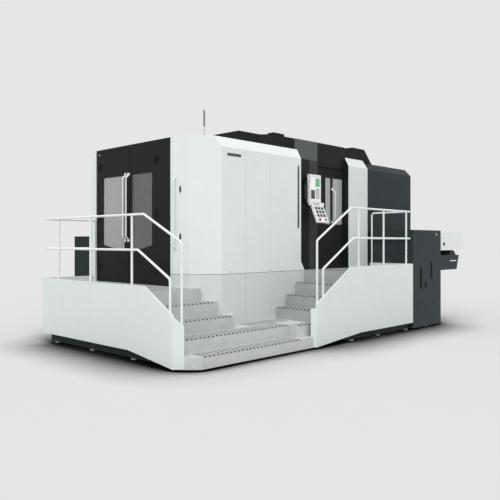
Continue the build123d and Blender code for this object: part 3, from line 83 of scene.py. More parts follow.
def new_finish(name, **shader):
    """An empty material with its shader, and the object coordinates that its patterns read."""
    made = bpy.data.materials.new(name)
    made.use_nodes = True
    tree = made.node_tree
    tree.nodes.clear()
    body = add(tree, "ShaderNodeBsdfPrincipled", shader)
    add(tree, "ShaderNodeOutputMaterial", {"Surface": body.outputs["BSDF"]})
    place = add(tree, "ShaderNodeTexCoord").outputs["Object"]
    print("finish:", name)
    return made, tree, body, place


# %% [markdown]
# ## Powder coat
# The covers are folded sheet, sprayed with powder and baked. Up close that
# gives an even skin with a faint orange peel, and over a large panel the
# tone drifts a little where dust and hands have been. The peel is about
# 2 mm across on the real machine; it is drawn at 14 mm so that it shows.

# %% Powder-coated sheet
PEEL = 14 * MM
PEEL_DEEP = 0.6 * MM
DRIFT = 900 * MM
DUST = 160 * MM


def powder_coat(name, tone, worn, rough=0.42, peel_depth=0.25, shine=0.3):
    """A baked powder coat: its colour, a duller tone that it drifts towards, and its peel."""
    made, tree, body, place = new_finish(name, **{"Specular IOR Level": shine})
    drift = add(tree, "ShaderNodeTexNoise", {"Vector": place, "Scale": 1 / DRIFT, "Detail": 5.0})
    dust = add(tree, "ShaderNodeTexNoise", {"Vector": place, "Scale": 1 / DUST, "Detail": 8.0})
    blend = add(
        tree, "ShaderNodeMath", {0: drift.outputs[0], 1: dust.outputs[0]}, operation="MULTIPLY",
    )
    share = add(tree, "ShaderNodeMapRange", {
        "Value": blend.outputs[0], "From Min": 0.1, "From Max": 0.5,
    })
    paint = add(
        tree, "ShaderNodeMix",
        {"Factor": share.outputs[0], 6: colour(tone), 7: colour(worn)}, data_type="RGBA",
    )
    gloss = add(tree, "ShaderNodeMapRange", {
        "Value": dust.outputs[0], "From Min": 0.3, "From Max": 0.7,
        "To Min": rough - 0.06, "To Max": rough + 0.08,
    })
    peel = add(tree, "ShaderNodeTexNoise", {"Vector": place, "Scale": 1 / PEEL, "Detail": 2.0})
    bump = add(tree, "ShaderNodeBump", {
        "Height": peel.outputs[0], "Strength": peel_depth, "Distance": PEEL_DEEP,
    })
    tree.links.new(paint.outputs[2], body.inputs["Base Color"])
    tree.links.new(gloss.outputs[0], body.inputs["Roughness"])
    tree.links.new(bump.outputs[0], body.inputs["Normal"])
    return made


white_coat = powder_coat("white powder coat", "#e2e8e7", "#dde3e2")
panel_coat = powder_coat("panel powder coat", "#dde5e4", "#d8e0df")
pale_coat = powder_coat("light grey powder coat", "#d2d8d7", "#cdd3d2")
mist_coat = powder_coat("near-white powder coat", "#e4e9e8", "#dfe4e3", rough=0.36)
dark_coat = powder_coat(
    "dark grey powder coat", "#2c3337", "#31393c", rough=0.5, peel_depth=0.5, shine=0.15,
)
black_coat = powder_coat(
    "black textured powder coat", "#1d1f20", "#232526", rough=0.55, peel_depth=0.6, shine=0.12,
)
cabinet_coat = powder_coat(
    "charcoal powder coat", "#2f383a", "#343d3f", rough=0.5, peel_depth=0.45, shine=0.15,
)
# Dark base paint; on the plinths under the panels it is darkened further, as painted shade of the shadow
# beneath them.
dark_base_and_painted_shade = powder_coat(
    "dark base paint, darkened as painted shade", "#1f2b2c", "#283231", rough=0.6, peel_depth=0.5, shine=0.12,
)
rail_coat = powder_coat("white tube enamel", "#e8eded", "#dfe4e4", rough=0.34, peel_depth=0.1)
casting_coat = powder_coat("painted casting", "#8d9394", "#7d8384", rough=0.55, peel_depth=0.9)
arm_coat = powder_coat("light grey arm paint", "#9ea4a4", "#929898", rough=0.5)

# %% [markdown]
# ## Sheet steps
# The steps and decks are bent sheet under a thin coat. Boots scuff it, so it
# is duller and patchier than the covers, with drawn-out scratches. They run
# from left to right, 270 mm long and 30 mm wide, far coarser than real so
# that they show. A stretched noise gives them, and the Bevel node finds the
# nosings, where the coat is worn to a paler edge.

# %% Scuffed step sheet
SCRATCH = 30 * MM
SCRATCH_DRAWN = 9.0
SCRATCH_DEEP = 0.8 * MM
EDGE = 5 * MM


def step_sheet(name, tone, scuffed, edge):
    """Coated step sheet: scratched, patchy, and worn paler along its edges."""
    made, tree, body, place = new_finish(name, **{"Specular IOR Level": 0.25})
    patch = add(tree, "ShaderNodeTexNoise", {"Vector": place, "Scale": 1 / DUST, "Detail": 7.0})
    along = add(tree, "ShaderNodeMapping", {
        "Vector": place, "Scale": (1.0, SCRATCH_DRAWN, SCRATCH_DRAWN),
    })
    scratch = add(tree, "ShaderNodeTexNoise", {
        "Vector": along.outputs[0], "Scale": 1 / (SCRATCH_DRAWN * SCRATCH), "Detail": 9.0,
    })
    share = add(tree, "ShaderNodeMapRange", {
        "Value": patch.outputs[0], "From Min": 0.38, "From Max": 0.66,
    })
    paint = add(
        tree, "ShaderNodeMix",
        {"Factor": share.outputs[0], 6: colour(tone), 7: colour(scuffed)}, data_type="RGBA",
    )
    rounded = add(tree, "ShaderNodeBevel", {"Radius": EDGE}, samples=4)
    flat = add(tree, "ShaderNodeNewGeometry")
    turn = add(
        tree, "ShaderNodeVectorMath",
        {0: rounded.outputs[0], 1: flat.outputs["True Normal"]}, operation="DOT_PRODUCT",
    )
    worn = add(
        tree, "ShaderNodeMapRange",
        {"Value": turn.outputs["Value"], "From Min": 0.995, "From Max": 0.8, "To Max": 0.55},
    )
    rubbed = add(
        tree, "ShaderNodeMix",
        {"Factor": worn.outputs[0], 6: paint.outputs[2], 7: colour(edge)}, data_type="RGBA",
    )
    gloss = add(tree, "ShaderNodeMapRange", {
        "Value": scratch.outputs[0], "To Min": 0.36, "To Max": 0.62,
    })
    bump = add(tree, "ShaderNodeBump", {
        "Height": scratch.outputs[0], "Strength": 0.3, "Distance": SCRATCH_DEEP,
    })
    tree.links.new(rubbed.outputs[2], body.inputs["Base Color"])
    tree.links.new(gloss.outputs[0], body.inputs["Roughness"])
    tree.links.new(bump.outputs[0], body.inputs["Normal"])
    return made


# The first two are the grey step sheet made lighter: painted light on the left flight, its deck and the
# lowest steps.
left_sheet_painted_lighter = step_sheet("step sheet painted lighter, left", "#c1c4c4", "#b9bdbd", "#d0d4d4")
low_sheet_painted_lighter = step_sheet("step sheet painted lighter, low", "#c8cbca", "#c0c4c3", "#d6d9d8")
right_sheet = step_sheet("grey step sheet", "#abaead", "#a3a7a6", "#c0c3c2")

# %% [markdown]
# ## Bare metals
# Satin chrome on the door handles is bright and milky, ground steel shows
# fine lines along it, and plated feet are duller. A metal keeps the usual
# IOR, and its colour is its own reflection, so only the tone, the lines and
# the roughness change. Satin chrome scatters most of its light, so it is
# only part metal here. The lines are drawn 3 mm apart, coarser than real.

# %% Satin chrome, ground and plated steel
LINE = 3 * MM
GRAIN_STRENGTH = 0.2
GRAIN_DEEP = 0.2 * MM


def bare_metal(name, tone, stained, rough, stretch, metal=1.0):
    """A metal with fine lines, drawn out along the axes where stretch is small."""
    made, tree, body, place = new_finish(name, **{"Metallic": metal})
    lines = add(tree, "ShaderNodeMapping", {"Vector": place, "Scale": stretch})
    grain = add(tree, "ShaderNodeTexNoise", {
        "Vector": lines.outputs[0], "Scale": 1 / LINE, "Detail": 3.0,
    })
    stain = add(tree, "ShaderNodeTexNoise", {"Vector": place, "Scale": 1 / DUST, "Detail": 4.0})
    tint = add(
        tree, "ShaderNodeMix",
        {"Factor": stain.outputs[0], 6: colour(tone), 7: colour(stained)}, data_type="RGBA",
    )
    gloss = add(
        tree, "ShaderNodeMapRange",
        {"Value": grain.outputs[0], "To Min": rough - 0.08, "To Max": rough + 0.12},
    )
    bump = add(tree, "ShaderNodeBump", {
        "Height": grain.outputs[0], "Strength": GRAIN_STRENGTH, "Distance": GRAIN_DEEP,
    })
    tree.links.new(tint.outputs[2], body.inputs["Base Color"])
    tree.links.new(gloss.outputs[0], body.inputs["Roughness"])
    tree.links.new(bump.outputs[0], body.inputs["Normal"])
    return made


LINES_UPRIGHT, LINES_ACROSS, NO_LINES = (1.0, 1.0, 0.05), (0.05, 1.0, 1.0), (1.0, 1.0, 1.0)
brushed_tube = bare_metal(
    "satin-chromed tube", "#f2f4f4", "#e6e9e9", 0.3, LINES_UPRIGHT, metal=0.35,
)
ground_steel = bare_metal("ground steel", "#b9bcbc", "#a3a6a6", 0.34, LINES_ACROSS)
plated_steel = bare_metal("zinc-plated steel", "#8f9292", "#73706a", 0.45, NO_LINES)
screw_steel = bare_metal("blackened screw steel", "#3a3c3d", "#2c2d2e", 0.4, NO_LINES)

# %% [markdown]
# ## Glass, plastics and rubber
# The windows are laminated safety glass with a grey film: pale from
# outside, with only a hint of the machine behind. Part of the light goes
# through and part scatters in the film, so the shader mixes the two. The
# plastics are moulded, with a fine spark-eroded texture, which is drawn
# 5 mm across, far coarser than real, so that it shows.

# %% Window film, moulded plastics and rubber
GRIT = 5 * MM


def safety_glass(name, film, through, rough):
    """Laminated glass with a grey film, and the smears of dried coolant on it."""
    made, tree, body, place = new_finish(name, **{"IOR": 1.5, "Transmission Weight": through})
    smear = add(tree, "ShaderNodeTexNoise", {"Vector": place, "Scale": 1 / DUST, "Detail": 6.0})
    tint = add(
        tree, "ShaderNodeMix",
        {"Factor": smear.outputs[0], 6: colour(film[0]), 7: colour(film[1])}, data_type="RGBA",
    )
    gloss = add(tree, "ShaderNodeMapRange", {
        "Value": smear.outputs[0], "To Min": rough, "To Max": rough + 0.12,
    })
    tree.links.new(tint.outputs[2], body.inputs["Base Color"])
    tree.links.new(gloss.outputs[0], body.inputs["Roughness"])
    return made


def moulded(name, tone, second, rough, coat=0.0):
    """A moulded plastic or rubber with a fine grit, its tone and the tone it varies towards."""
    made, tree, body, place = new_finish(name, **{"Coat Weight": coat})
    grit = add(tree, "ShaderNodeTexNoise", {"Vector": place, "Scale": 1 / GRIT, "Detail": 3.0})
    cloud = add(tree, "ShaderNodeTexNoise", {"Vector": place, "Scale": 1 / DUST, "Detail": 4.0})
    tint = add(
        tree, "ShaderNodeMix",
        {"Factor": cloud.outputs[0], 6: colour(tone), 7: colour(second)}, data_type="RGBA",
    )
    gloss = add(tree, "ShaderNodeMapRange", {
        "Value": grit.outputs[0], "To Min": rough - 0.05, "To Max": rough + 0.08,
    })
    bump = add(tree, "ShaderNodeBump", {
        "Height": grit.outputs[0], "Strength": GRAIN_STRENGTH, "Distance": GRAIN_DEEP,
    })
    tree.links.new(tint.outputs[2], body.inputs["Base Color"])
    tree.links.new(gloss.outputs[0], body.inputs["Roughness"])
    tree.links.new(bump.outputs[0], body.inputs["Normal"])
    return made


grey_glass = safety_glass("grey laminated glass", ("#d3d5d8", "#c8cbce"), 0.5, 0.12)
dark_glass = safety_glass("smoked laminated glass", ("#858888", "#747777"), 0.5, 0.12)
pane_glass = safety_glass("pale laminated glass", ("#c9cccd", "#bcc0c1"), 0.3, 0.1)
door_rubber = moulded("door seal rubber", "#1c1d1e", "#242526", 0.7)
grip_rubber = moulded("grip strip rubber", "#3a3e3f", "#45494a", 0.7)
knob_plastic = moulded("matt black knob plastic", "#161718", "#1e1f20", 0.55)
white_plastic = moulded("white moulded housing", "#eceeee", "#e2e5e4", 0.38)
key_plastic = moulded("dark key caps", "#2b2f31", "#35393b", 0.5)
red_plastic = moulded("gloss red button", "#b21d17", "#a31a15", 0.2, coat=0.6)
frosted_tube = moulded("frosted lamp tube", "#b9bcba", "#aeb1b0", 0.3, coat=0.4)
plate_enamel = moulded("blank enamelled plate", "#3b4144", "#444a4d", 0.25, coat=0.4)
print("materials so far:", len(bpy.data.materials))

# %% [markdown]
# ## Lit parts
# The lamp slot in the cover and the operator's screen give light of their
# own. The lamp is a dark green cover with brighter cells, and the screen is
# pale with coloured fields. The cells and the fields are separate thin tiles
# further down, so each finish here is two close tones, clouded into each
# other, with a weak glow.

# %% Lamp cover and screen colours
CLOUD = 40 * MM
COVER_ROUGH = 0.2


def glowing(name, tone, second, glow):
    """A lit cover: a tone, a second one clouded into it, and how strongly they glow."""
    made, tree, body, place = new_finish(name, **{"Coat Weight": 0.4})
    cloud = add(tree, "ShaderNodeTexNoise", {"Vector": place, "Scale": 1 / CLOUD, "Detail": 2.0})
    tint = add(
        tree, "ShaderNodeMix",
        {"Factor": cloud.outputs[0], 6: colour(tone), 7: colour(second)}, data_type="RGBA",
    )
    gloss = add(tree, "ShaderNodeMapRange", {
        "Value": cloud.outputs[0], "To Min": COVER_ROUGH, "To Max": COVER_ROUGH + 0.1,
    })
    tree.links.new(tint.outputs[2], body.inputs["Base Color"])
    tree.links.new(tint.outputs[2], body.inputs["Emission Color"])
    tree.links.new(gloss.outputs[0], body.inputs["Roughness"])
    body.inputs["Emission Strength"].default_value = glow
    return made


lamp_green = glowing("green lamp cover", "#12261f", "#1b3a2e", 0.1)
screen_white = glowing("screen, pale field", "#dfe6e2", "#edf1ee", 0.15)
screen_green = glowing("screen, green field", "#4f9a72", "#68b187", 0.2)
screen_dark = glowing("screen, dark field", "#2d3437", "#384044", 0.02)
screen_grey = glowing("screen, grey field", "#a9b1ae", "#b8bfbc", 0.08)

# %% [markdown]
# ## Parts in more than one tone
# A few parts have more than one tone. The operator's door frame is black,
# with a dark grey upright strip in its left half and a lighter area at its
# top left. The black left of the strip, below that area, is painted shadow:
# the shade in the recess behind the control panel. The lighter area is the
# frame's grey with a painted sheen of the light that falls on its top. The
# white column is black on its faces that turn left, towards -X, beside the
# door. The screen housing has a black sleeve, and the signal rod is a grey
# lamp over a pale socket. Such a part is masked and sprayed twice, so its
# finish is one coat whose tone changes at straight lines. The tank door gets
# black fields round its vents, wider than the vents in its solid: painted
# shade, which stands in for the dark inside its vent openings. It also gets
# a small pale spot, and both are painted rather than built, because a raised
# piece would stand outside the solids' box.

# %% Masked coats, some with painted shade
def zoned_coat(name, tone, zones, rough=0.45, shine=0.15):
    """A coat with a main tone, and zones of other tones, each with limits on place or facing."""
    made, tree, body, place = new_finish(name, **{"Specular IOR Level": shine})
    spot = add(tree, "ShaderNodeSeparateXYZ", {"Vector": place}).outputs
    facing = add(tree, "ShaderNodeNewGeometry").outputs["True Normal"]
    way = add(tree, "ShaderNodeSeparateXYZ", {"Vector": facing}).outputs
    dust = add(tree, "ShaderNodeTexNoise", {"Vector": place, "Scale": 1 / DUST, "Detail": 7.0})
    soft = add(tree, "ShaderNodeMapRange", {"Value": dust.outputs[0], "To Min": 0.93, "To Max": 1.03})
    paint = colour(tone)
    for other, limits in zones:
        inside = 1.0
        for source, axis, side, limit in limits:
            value = (way if source == "facing" else spot)[axis]
            test = add(tree, "ShaderNodeMath", {0: value, 1: limit}, operation=side)
            inside = add(
                tree, "ShaderNodeMath", {0: test.outputs[0], 1: inside}, operation="MULTIPLY",
            ).outputs[0]
        mixed = add(
            tree, "ShaderNodeMix",
            {"Factor": inside, 6: paint, 7: colour(other)}, data_type="RGBA",
        )
        paint = mixed.outputs[2]
    dusted = add(
        tree, "ShaderNodeVectorMath", {0: paint, "Scale": soft.outputs[0]}, operation="SCALE",
    )
    gloss = add(tree, "ShaderNodeMapRange", {
        "Value": dust.outputs[0], "To Min": rough - 0.05, "To Max": rough + 0.08,
    })
    peel = add(tree, "ShaderNodeTexNoise", {"Vector": place, "Scale": 1 / PEEL, "Detail": 2.0})
    bump = add(tree, "ShaderNodeBump", {
        "Height": peel.outputs[0], "Strength": 0.4, "Distance": PEEL_DEEP,
    })
    tree.links.new(dusted.outputs[0], body.inputs["Base Color"])
    tree.links.new(gloss.outputs[0], body.inputs["Roughness"])
    tree.links.new(bump.outputs[0], body.inputs["Normal"])
    return made


def between(axis, low, high):
    """The limits of a zone between two places along an axis, in millimetres."""
    return [("place", axis, "GREATER_THAN", low * MM), ("place", axis, "LESS_THAN", high * MM)]


STRIP_LEFT, STRIP_RIGHT, GREY_AND_SHEEN_BAND_FOOT = -196, 53, 3230
SLEEVE_END, SOCKET_TOP = -322, 3604
TURNED_IN = -0.9
# The black fields round the tank door's vents are painted shade: they stand in for the dark inside vent
# openings wider than the solid's.
VENT_PAINTED_SHADE, SPOT_PALE = "#090a0a", "#c9cfce"
DOOR_FIELDS = (
    (VENT_PAINTED_SHADE, 1960, 2060, 775, 1205), (VENT_PAINTED_SHADE, 2395, 2485, 965, 1315),
    (VENT_PAINTED_SHADE, 2160, 2245, 785, 915), (SPOT_PALE, 2636, 2676, 1850, 1890),
)
# Frame: the black left of the grey strip and below the band is painted shadow of the recess behind the
# control panel; the band above is grey with a painted sheen of light at the top.
surround_with_painted_shadow_and_sheen = zoned_coat("grey and black surround, with painted shadow and sheen", "#1c1e1f", [
    ("#3b3f41", between("X", STRIP_LEFT, STRIP_RIGHT)),
    ("#585d5f", [("place", "Z", "GREATER_THAN", GREY_AND_SHEEN_BAND_FOOT * MM),
                 ("place", "X", "LESS_THAN", STRIP_RIGHT * MM)]),
])
# Black on the faces that turn left, towards -X, beside the door: the tone follows which way a face
# turns.
column_coat = zoned_coat("white column with a black return", "#d9e0df", [
    ("#1c1e1f", [("facing", "X", "LESS_THAN", TURNED_IN)]),
], shine=0.3)
housing_coat = zoned_coat("white screen housing with a black sleeve", "#e8eaea", [
    ("#26292a", [("place", "X", "LESS_THAN", SLEEVE_END * MM)]),
], shine=0.3)
signal_finish = zoned_coat("grey lamp over a pale socket", "#cdd0cf", [
    ("#7b7f80", [("place", "Z", "GREATER_THAN", SOCKET_TOP * MM)]),
], rough=0.3, shine=0.4)
# The tank door's coat, with painted shade round its vents and a small pale spot.
door_coat_with_painted_vent_shade = zoned_coat("charcoal door with painted shade round its vents", "#2f383a", [
    (tone, between("X", left, right) + between("Z", foot, head))
    for tone, left, right, foot, head in DOOR_FIELDS
])

# %% [markdown]
# ## A finish for every solid
# The record says which slot each solid takes its finish from. Most slots
# have one finish here, and a few solids get a closer one by name.

# %% Give the solids their finishes
SLOT_FINISH = {
    "white_paint": white_coat, "light_grey_paint": pale_coat, "grey_sheet": right_sheet,
    "black_paint": black_coat, "dark_grey_paint": dark_coat, "chute_paint": cabinet_coat,
    "window": grey_glass, "handle_chrome": brushed_tube, "screen_glass": screen_white,
    "lamp": lamp_green, "signal_plastic": frosted_tube, "red_button": red_plastic,
    "knob_black": knob_plastic, "foot_steel": plated_steel, "cast_paint": casting_coat,
    "machined_steel": ground_steel, "arm_paint": arm_coat,
}
OWN_FINISH = {
    "left_flight": left_sheet_painted_lighter, "left_deck": left_sheet_painted_lighter, "lower_steps": low_sheet_painted_lighter,
    "left_panel": panel_coat, "right_panel": panel_coat, "left_plinth": dark_base_and_painted_shade,
    "right_plinth": dark_base_and_painted_shade, "operator_frame": surround_with_painted_shadow_and_sheen, "white_column": column_coat,
    "operator_window": pane_glass, "near_window": dark_glass, "left_handrail": rail_coat,
    "right_handrail": rail_coat, "electric_cabinet": dark_base_and_painted_shade, "electric_door": dark_base_and_painted_shade,
    "mist_collector": mist_coat, "tank_cabinet": cabinet_coat, "tank_door": door_coat_with_painted_vent_shade,
    "keyboard": white_plastic, "screen_housing": housing_coat, "signal_rod": signal_finish,
}
wanted = {part["node"]: part["material_slot"] for part in frame["record"]["subparts"]}
for node, solid in frame["nodes"].items():
    solid.data.materials.clear()
    solid.data.materials.append(OWN_FINISH.get(node, SLOT_FINISH[wanted[node]]))
print("solids finished:", len(frame["nodes"]))

# %% [markdown]
# ## Three ways to make a small piece
# Most of what follows is one of three things: a folded or moulded plate with
# softened edges, a bead that follows an outline, and a row of equal parts.
# The first is a bevelled block or prism, the second a curve with a round
# section, and the third a Geometry Nodes tree. Each becomes a plain mesh in
# the machine's frame and then rides on the body that carries it.

# %% Put a finished mesh on the machine
SHARP = 0.5
made_pieces = []


def mount(name, mesh, finish, body):
    """A new piece from a mesh, with its finish, when one is given, and the body that it rides on."""
    if finish is not None:
        mesh.materials.clear()
        mesh.materials.append(finish)
    piece = bpy.data.objects.new(name, mesh)
    bpy.context.collection.objects.link(piece)
    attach(piece, body)
    made_pieces.append(name)
    print("mounted", name, "on", body, "with", len(mesh.polygons), "faces")


def shape_mesh(name, shape, soften=0.0, segments=2):
    """A mesh from a bmesh, with its sharp edges rounded off by a distance in metres."""
    bmesh.ops.recalc_face_normals(shape, faces=shape.faces)
    if soften:
        sharp = [e for e in shape.edges if len(e.link_faces) == 2 and e.calc_face_angle() > SHARP]
        bmesh.ops.bevel(
            shape, geom=sharp, offset=soften, segments=segments, affect="EDGES", profile=0.6,
        )
    mesh = bpy.data.meshes.new(name)
    shape.to_mesh(mesh)
    shape.free()
    return mesh


def read_out(name, holder):
    """The plain mesh that an object's curve or tree gives, after which the object is gone."""
    seen = holder.evaluated_get(bpy.context.evaluated_depsgraph_get())
    mesh = bpy.data.meshes.new_from_object(seen)
    bpy.data.objects.remove(holder)
    mesh.name = name
    return mesh


def add_block(shape, low, high):
    """Adds a block between two corners in metres."""
    low, high = Vector(low), Vector(high)
    size = Matrix.Diagonal((*(high - low), 1.0))
    bmesh.ops.create_cube(shape, size=1.0, matrix=Matrix.Translation((low + high) / 2) @ size)


def add_prism(shape, outline, direction):
    """Adds a closed prism: an outline of points, pushed along a direction."""
    base = [shape.verts.new(point) for point in outline]
    face = shape.faces.new(base)
    grown = bmesh.ops.extrude_face_region(shape, geom=[face])
    moved = [g for g in grown["geom"] if isinstance(g, bmesh.types.BMVert)]
    bmesh.ops.translate(shape, verts=moved, vec=direction)


def pill(middle, across, up, width, height, steps=8):
    """Points of a plate outline with round ends, as seen from the front."""
    across, up, middle = Vector(across), Vector(up), Vector(middle)
    points = []
    for side in (1, -1):
        hub = middle + across * side * (width - height) / 2
        for i in range(steps + 1):
            angle = math.pi * i / steps
            points.append(hub + across * side * math.sin(angle) * height / 2
                          + up * side * math.cos(angle) * height / 2)
    return points


# %% A bead along an outline
def bead(name, rings, radius):
    """A round bead along closed outlines, as one mesh."""
    path = bpy.data.curves.new(name, "CURVE")
    path.dimensions = "3D"
    path.bevel_depth = radius
    path.bevel_resolution = 2
    for points in rings:
        line = path.splines.new("POLY")
        line.points.add(len(points) - 1)
        for spot, point in zip(line.points, points):
            spot.co = (*point, 1.0)
        line.use_cyclic_u = True
    holder = bpy.data.objects.new(name, path)
    bpy.context.collection.objects.link(holder)
    return read_out(name, holder)


def merged_copy(node):
    """A copy of a solid's mesh to measure, its loose triangles joined at their corners."""
    shape = bmesh.new()
    shape.from_mesh(frame["nodes"][node].data)
    bmesh.ops.remove_doubles(shape, verts=shape.verts, dist=0.01 * MM)
    return shape


def outlines(faces):
    """The outlines round a set of faces, each as its corners in order."""
    inside = set(faces)
    links = {}
    for face in faces:
        for edge in face.edges:
            if len([other for other in edge.link_faces if other in inside]) == 1:
                for one, other in (edge.verts, reversed(edge.verts)):
                    links.setdefault(one, []).append(other)
    rings, left = [], set(links)
    while left:
        ring, spot = [], min(left, key=lambda v: tuple(v.co))
        while spot is not None:
            ring.append(spot.co.copy())
            left.discard(spot)
            spot = next((v for v in links[spot] if v in left), None)
        rings.append(ring)
    return rings


def rim_of(node, facing, below=0.0):
    """The outlines of a solid's sides that face a direction, some metres below the outermost."""
    shape = merged_copy(node)
    facing = Vector(facing)
    reach = max(v.co.dot(facing) for v in shape.verts) - below
    rings = outlines([
        f for f in shape.faces if f.normal.dot(facing) > 0.99
        and abs(max(v.co.dot(facing) for v in f.verts) - reach) < 1 * MM
    ])
    shape.free()
    return rings


# %% [markdown]
# ### Rows of equal parts
# Screws, bolts, flanges, louvres and lamp cells stand in rows. A tree lays
# points on a grid, from a start and a count and step for its columns and
# rows. It puts a copy of one part on each, turned to face its side, makes
# the copies real and gives them their finish. The row is then read out as
# one mesh, so nothing depends on the tree afterwards.

# %% The row tree
def row_tree():
    """A node tree: a grid of points, one part on each, realized and finished."""
    tree = bpy.data.node_groups.new("rows of parts", "GeometryNodeTree")
    face = tree.interface
    sockets = {}
    for name, kind in (
        ("Part", "NodeSocketObject"), ("Start", "NodeSocketVector"), ("Columns", "NodeSocketInt"),
        ("Column step", "NodeSocketVector"), ("Rows", "NodeSocketInt"), ("Row step", "NodeSocketVector"),
        ("Turn", "NodeSocketVector"), ("Finish", "NodeSocketMaterial"),
    ):
        sockets[name] = face.new_socket(name, in_out="INPUT", socket_type=kind).identifier
    face.new_socket("Geometry", in_out="OUTPUT", socket_type="NodeSocketGeometry")
    given = add(tree, "NodeGroupInput").outputs
    column = add(tree, "GeometryNodeMeshLine", {
        "Count": given["Columns"], "Start Location": given["Start"], "Offset": given["Column step"],
    })
    row = add(tree, "GeometryNodeMeshLine", {"Count": given["Rows"], "Offset": given["Row step"]})
    grid = add(tree, "GeometryNodeInstanceOnPoints", {
        "Points": column.outputs[0], "Instance": row.outputs[0],
    })
    points = add(tree, "GeometryNodeRealizeInstances", {"Geometry": grid.outputs[0]})
    part = add(tree, "GeometryNodeObjectInfo", {"Object": given["Part"]})
    spin = add(tree, "FunctionNodeEulerToRotation", {0: given["Turn"]})
    placed = add(tree, "GeometryNodeInstanceOnPoints", {
        "Points": points.outputs[0], "Instance": part.outputs["Geometry"], "Rotation": spin.outputs[0],
    })
    real = add(tree, "GeometryNodeRealizeInstances", {"Geometry": placed.outputs[0]})
    done = add(tree, "GeometryNodeSetMaterial", {
        "Geometry": real.outputs[0], "Material": given["Finish"],
    })
    add(tree, "NodeGroupOutput", {"Geometry": done.outputs[0]})
    return tree, sockets


ROWS, ROW_SOCKETS = row_tree()


def laid_out(name, part_mesh, finish, start, columns=1, column_step=(0, 0, 0),
             rows=1, row_step=(0, 0, 0), turn=(0, 0, 0)):
    """A mesh of equal parts in a grid, read from the row tree."""
    part = bpy.data.objects.new(name + "_part", part_mesh)
    holder = bpy.data.objects.new(name, bpy.data.meshes.new(name))
    bpy.context.collection.objects.link(holder)
    bpy.context.collection.objects.link(part)
    rows_of = holder.modifiers.new("rows", "NODES")
    rows_of.node_group = ROWS
    for socket, value in (
        ("Part", part), ("Start", start), ("Columns", columns), ("Column step", column_step),
        ("Rows", rows), ("Row step", row_step), ("Turn", turn), ("Finish", finish),
    ):
        rows_of[ROW_SOCKETS[socket]] = value
    mesh = read_out(name, holder)
    bpy.data.objects.remove(part)
    return mesh


def joined(name, meshes):
    """One mesh out of several that share a finish."""
    shape = bmesh.new()
    for mesh in meshes:
        shape.from_mesh(mesh)
    one = bpy.data.meshes.new(name)
    shape.to_mesh(one)
    shape.free()
    return one


print("row tree inputs:", len(ROW_SOCKETS))


# %% Turned parts, and a small screw
SCREW_PROFILE = ((0.36, 0.55), (0.36, 1.0), (0.7, 0.86), (1.0, 0.3), (1.0, 0.0))
SCREW_SIDES = 12


def at(x, y, z):
    """A place given in the machine's millimetres, as a vector in metres."""
    return Vector((x, y, z)) * MM


def turned(name, profile, sides, radius, height):
    """A part turned from a profile in shares of its radius and height, standing along +Z."""
    shape = bmesh.new()
    rings = []
    for share, up in profile:
        rings.append([
            shape.verts.new((share * radius * math.cos(math.tau * i / sides),
                             share * radius * math.sin(math.tau * i / sides), up * height))
            for i in range(sides)
        ])
    shape.faces.new(rings[0])
    for low, high in zip(rings, rings[1:]):
        for i in range(sides):
            shape.faces.new((low[i], low[(i + 1) % sides], high[(i + 1) % sides], high[i]))
    shape.faces.new(rings[-1])
    return shape_mesh(name, shape)


def screw_mesh(radius, height):
    """A button-head screw with a round socket, standing along +Z on its own origin."""
    return turned("screw", SCREW_PROFILE, SCREW_SIDES, radius, height)


FACE_FRONT = (math.radians(90), 0, 0)
FACE_LEFT = (math.radians(90), 0, math.radians(-90))

# %% [markdown]
# ## The main cover's small parts
# The tall white cover has dark latches in its corner facet, an enamelled
# plate in a shallow pocket, dark screws above the joint with the lower
# wall, and a lamp slot. The plate and the latches' bodies sit in pockets
# that the solid already has. A latch's flange is wider than its pocket and
# shorter, so it lies over the long edges, and the pocket shows above and
# below it. The lamp's cells are thin tiles on the face of its cover. The
# last of the three screws is partly off the cover's right edge.

# %% Facet latches
FACET = (at(-3000, -890, 0), at(-2920, -1170, 0))
LATCH_SHARE = 0.43
LATCH_HEIGHTS = (2535, 1790)
LATCH_LAYERS = (  # half width, half height, depth, and how far the front stands out
    (17, 42, 5, 2), (11.5, 33, 14, -3.5), (7, 24, 4, 5),
)
facet_along = (FACET[1] - FACET[0]).normalized()
facet_out = Vector((facet_along.y, -facet_along.x, 0))
latch_foot = FACET[0].lerp(FACET[1], LATCH_SHARE)


def latch_set():
    """Both latches: a flange, the body behind it in the pocket, and a paddle that stands out."""
    shape = bmesh.new()
    for height in LATCH_HEIGHTS:
        middle = latch_foot + at(0, 0, height)
        for half_w, half_h, depth, front in LATCH_LAYERS:
            corners = [
                middle + facet_along * a * half_w * MM + at(0, 0, b * half_h)
                + facet_out * (front - depth) * MM
                for a, b in ((-1, -1), (1, -1), (1, 1), (-1, 1))
            ]
            add_prism(shape, corners, facet_out * depth * MM)
    return shape_mesh("facet_latches", shape, 1.2 * MM)


mount("facet_latches", latch_set(), knob_plastic, "base")

# %% Blank plate in its pocket
COVER_FRONT = -1475
PLATE = {"x": -2235, "z": 3100, "width": 314, "height": 44, "behind": 7.8, "thick": 5.0}


def plate_mesh():
    """A plate with round ends, set behind the cover's front face."""
    shape = bmesh.new()
    middle = at(PLATE["x"], COVER_FRONT + PLATE["behind"], PLATE["z"])
    outline = pill(middle, (1, 0, 0), (0, 0, 1), PLATE["width"] * MM, PLATE["height"] * MM)
    add_prism(shape, outline, at(0, -PLATE["thick"], 0))
    return shape_mesh("blank_plate", shape, 1 * MM)


mount("blank_plate", plate_mesh(), plate_enamel, "base")

# %% Cells on the lamp cover
CELL_LOW, CELL_HIGH = at(-9, -1.2, -14), at(9, 0.6, 14)
CELL_FIRST = at(-625, -1467.4, 1985)
CELL_COUNT, CELL_PITCH = 27, 40.8

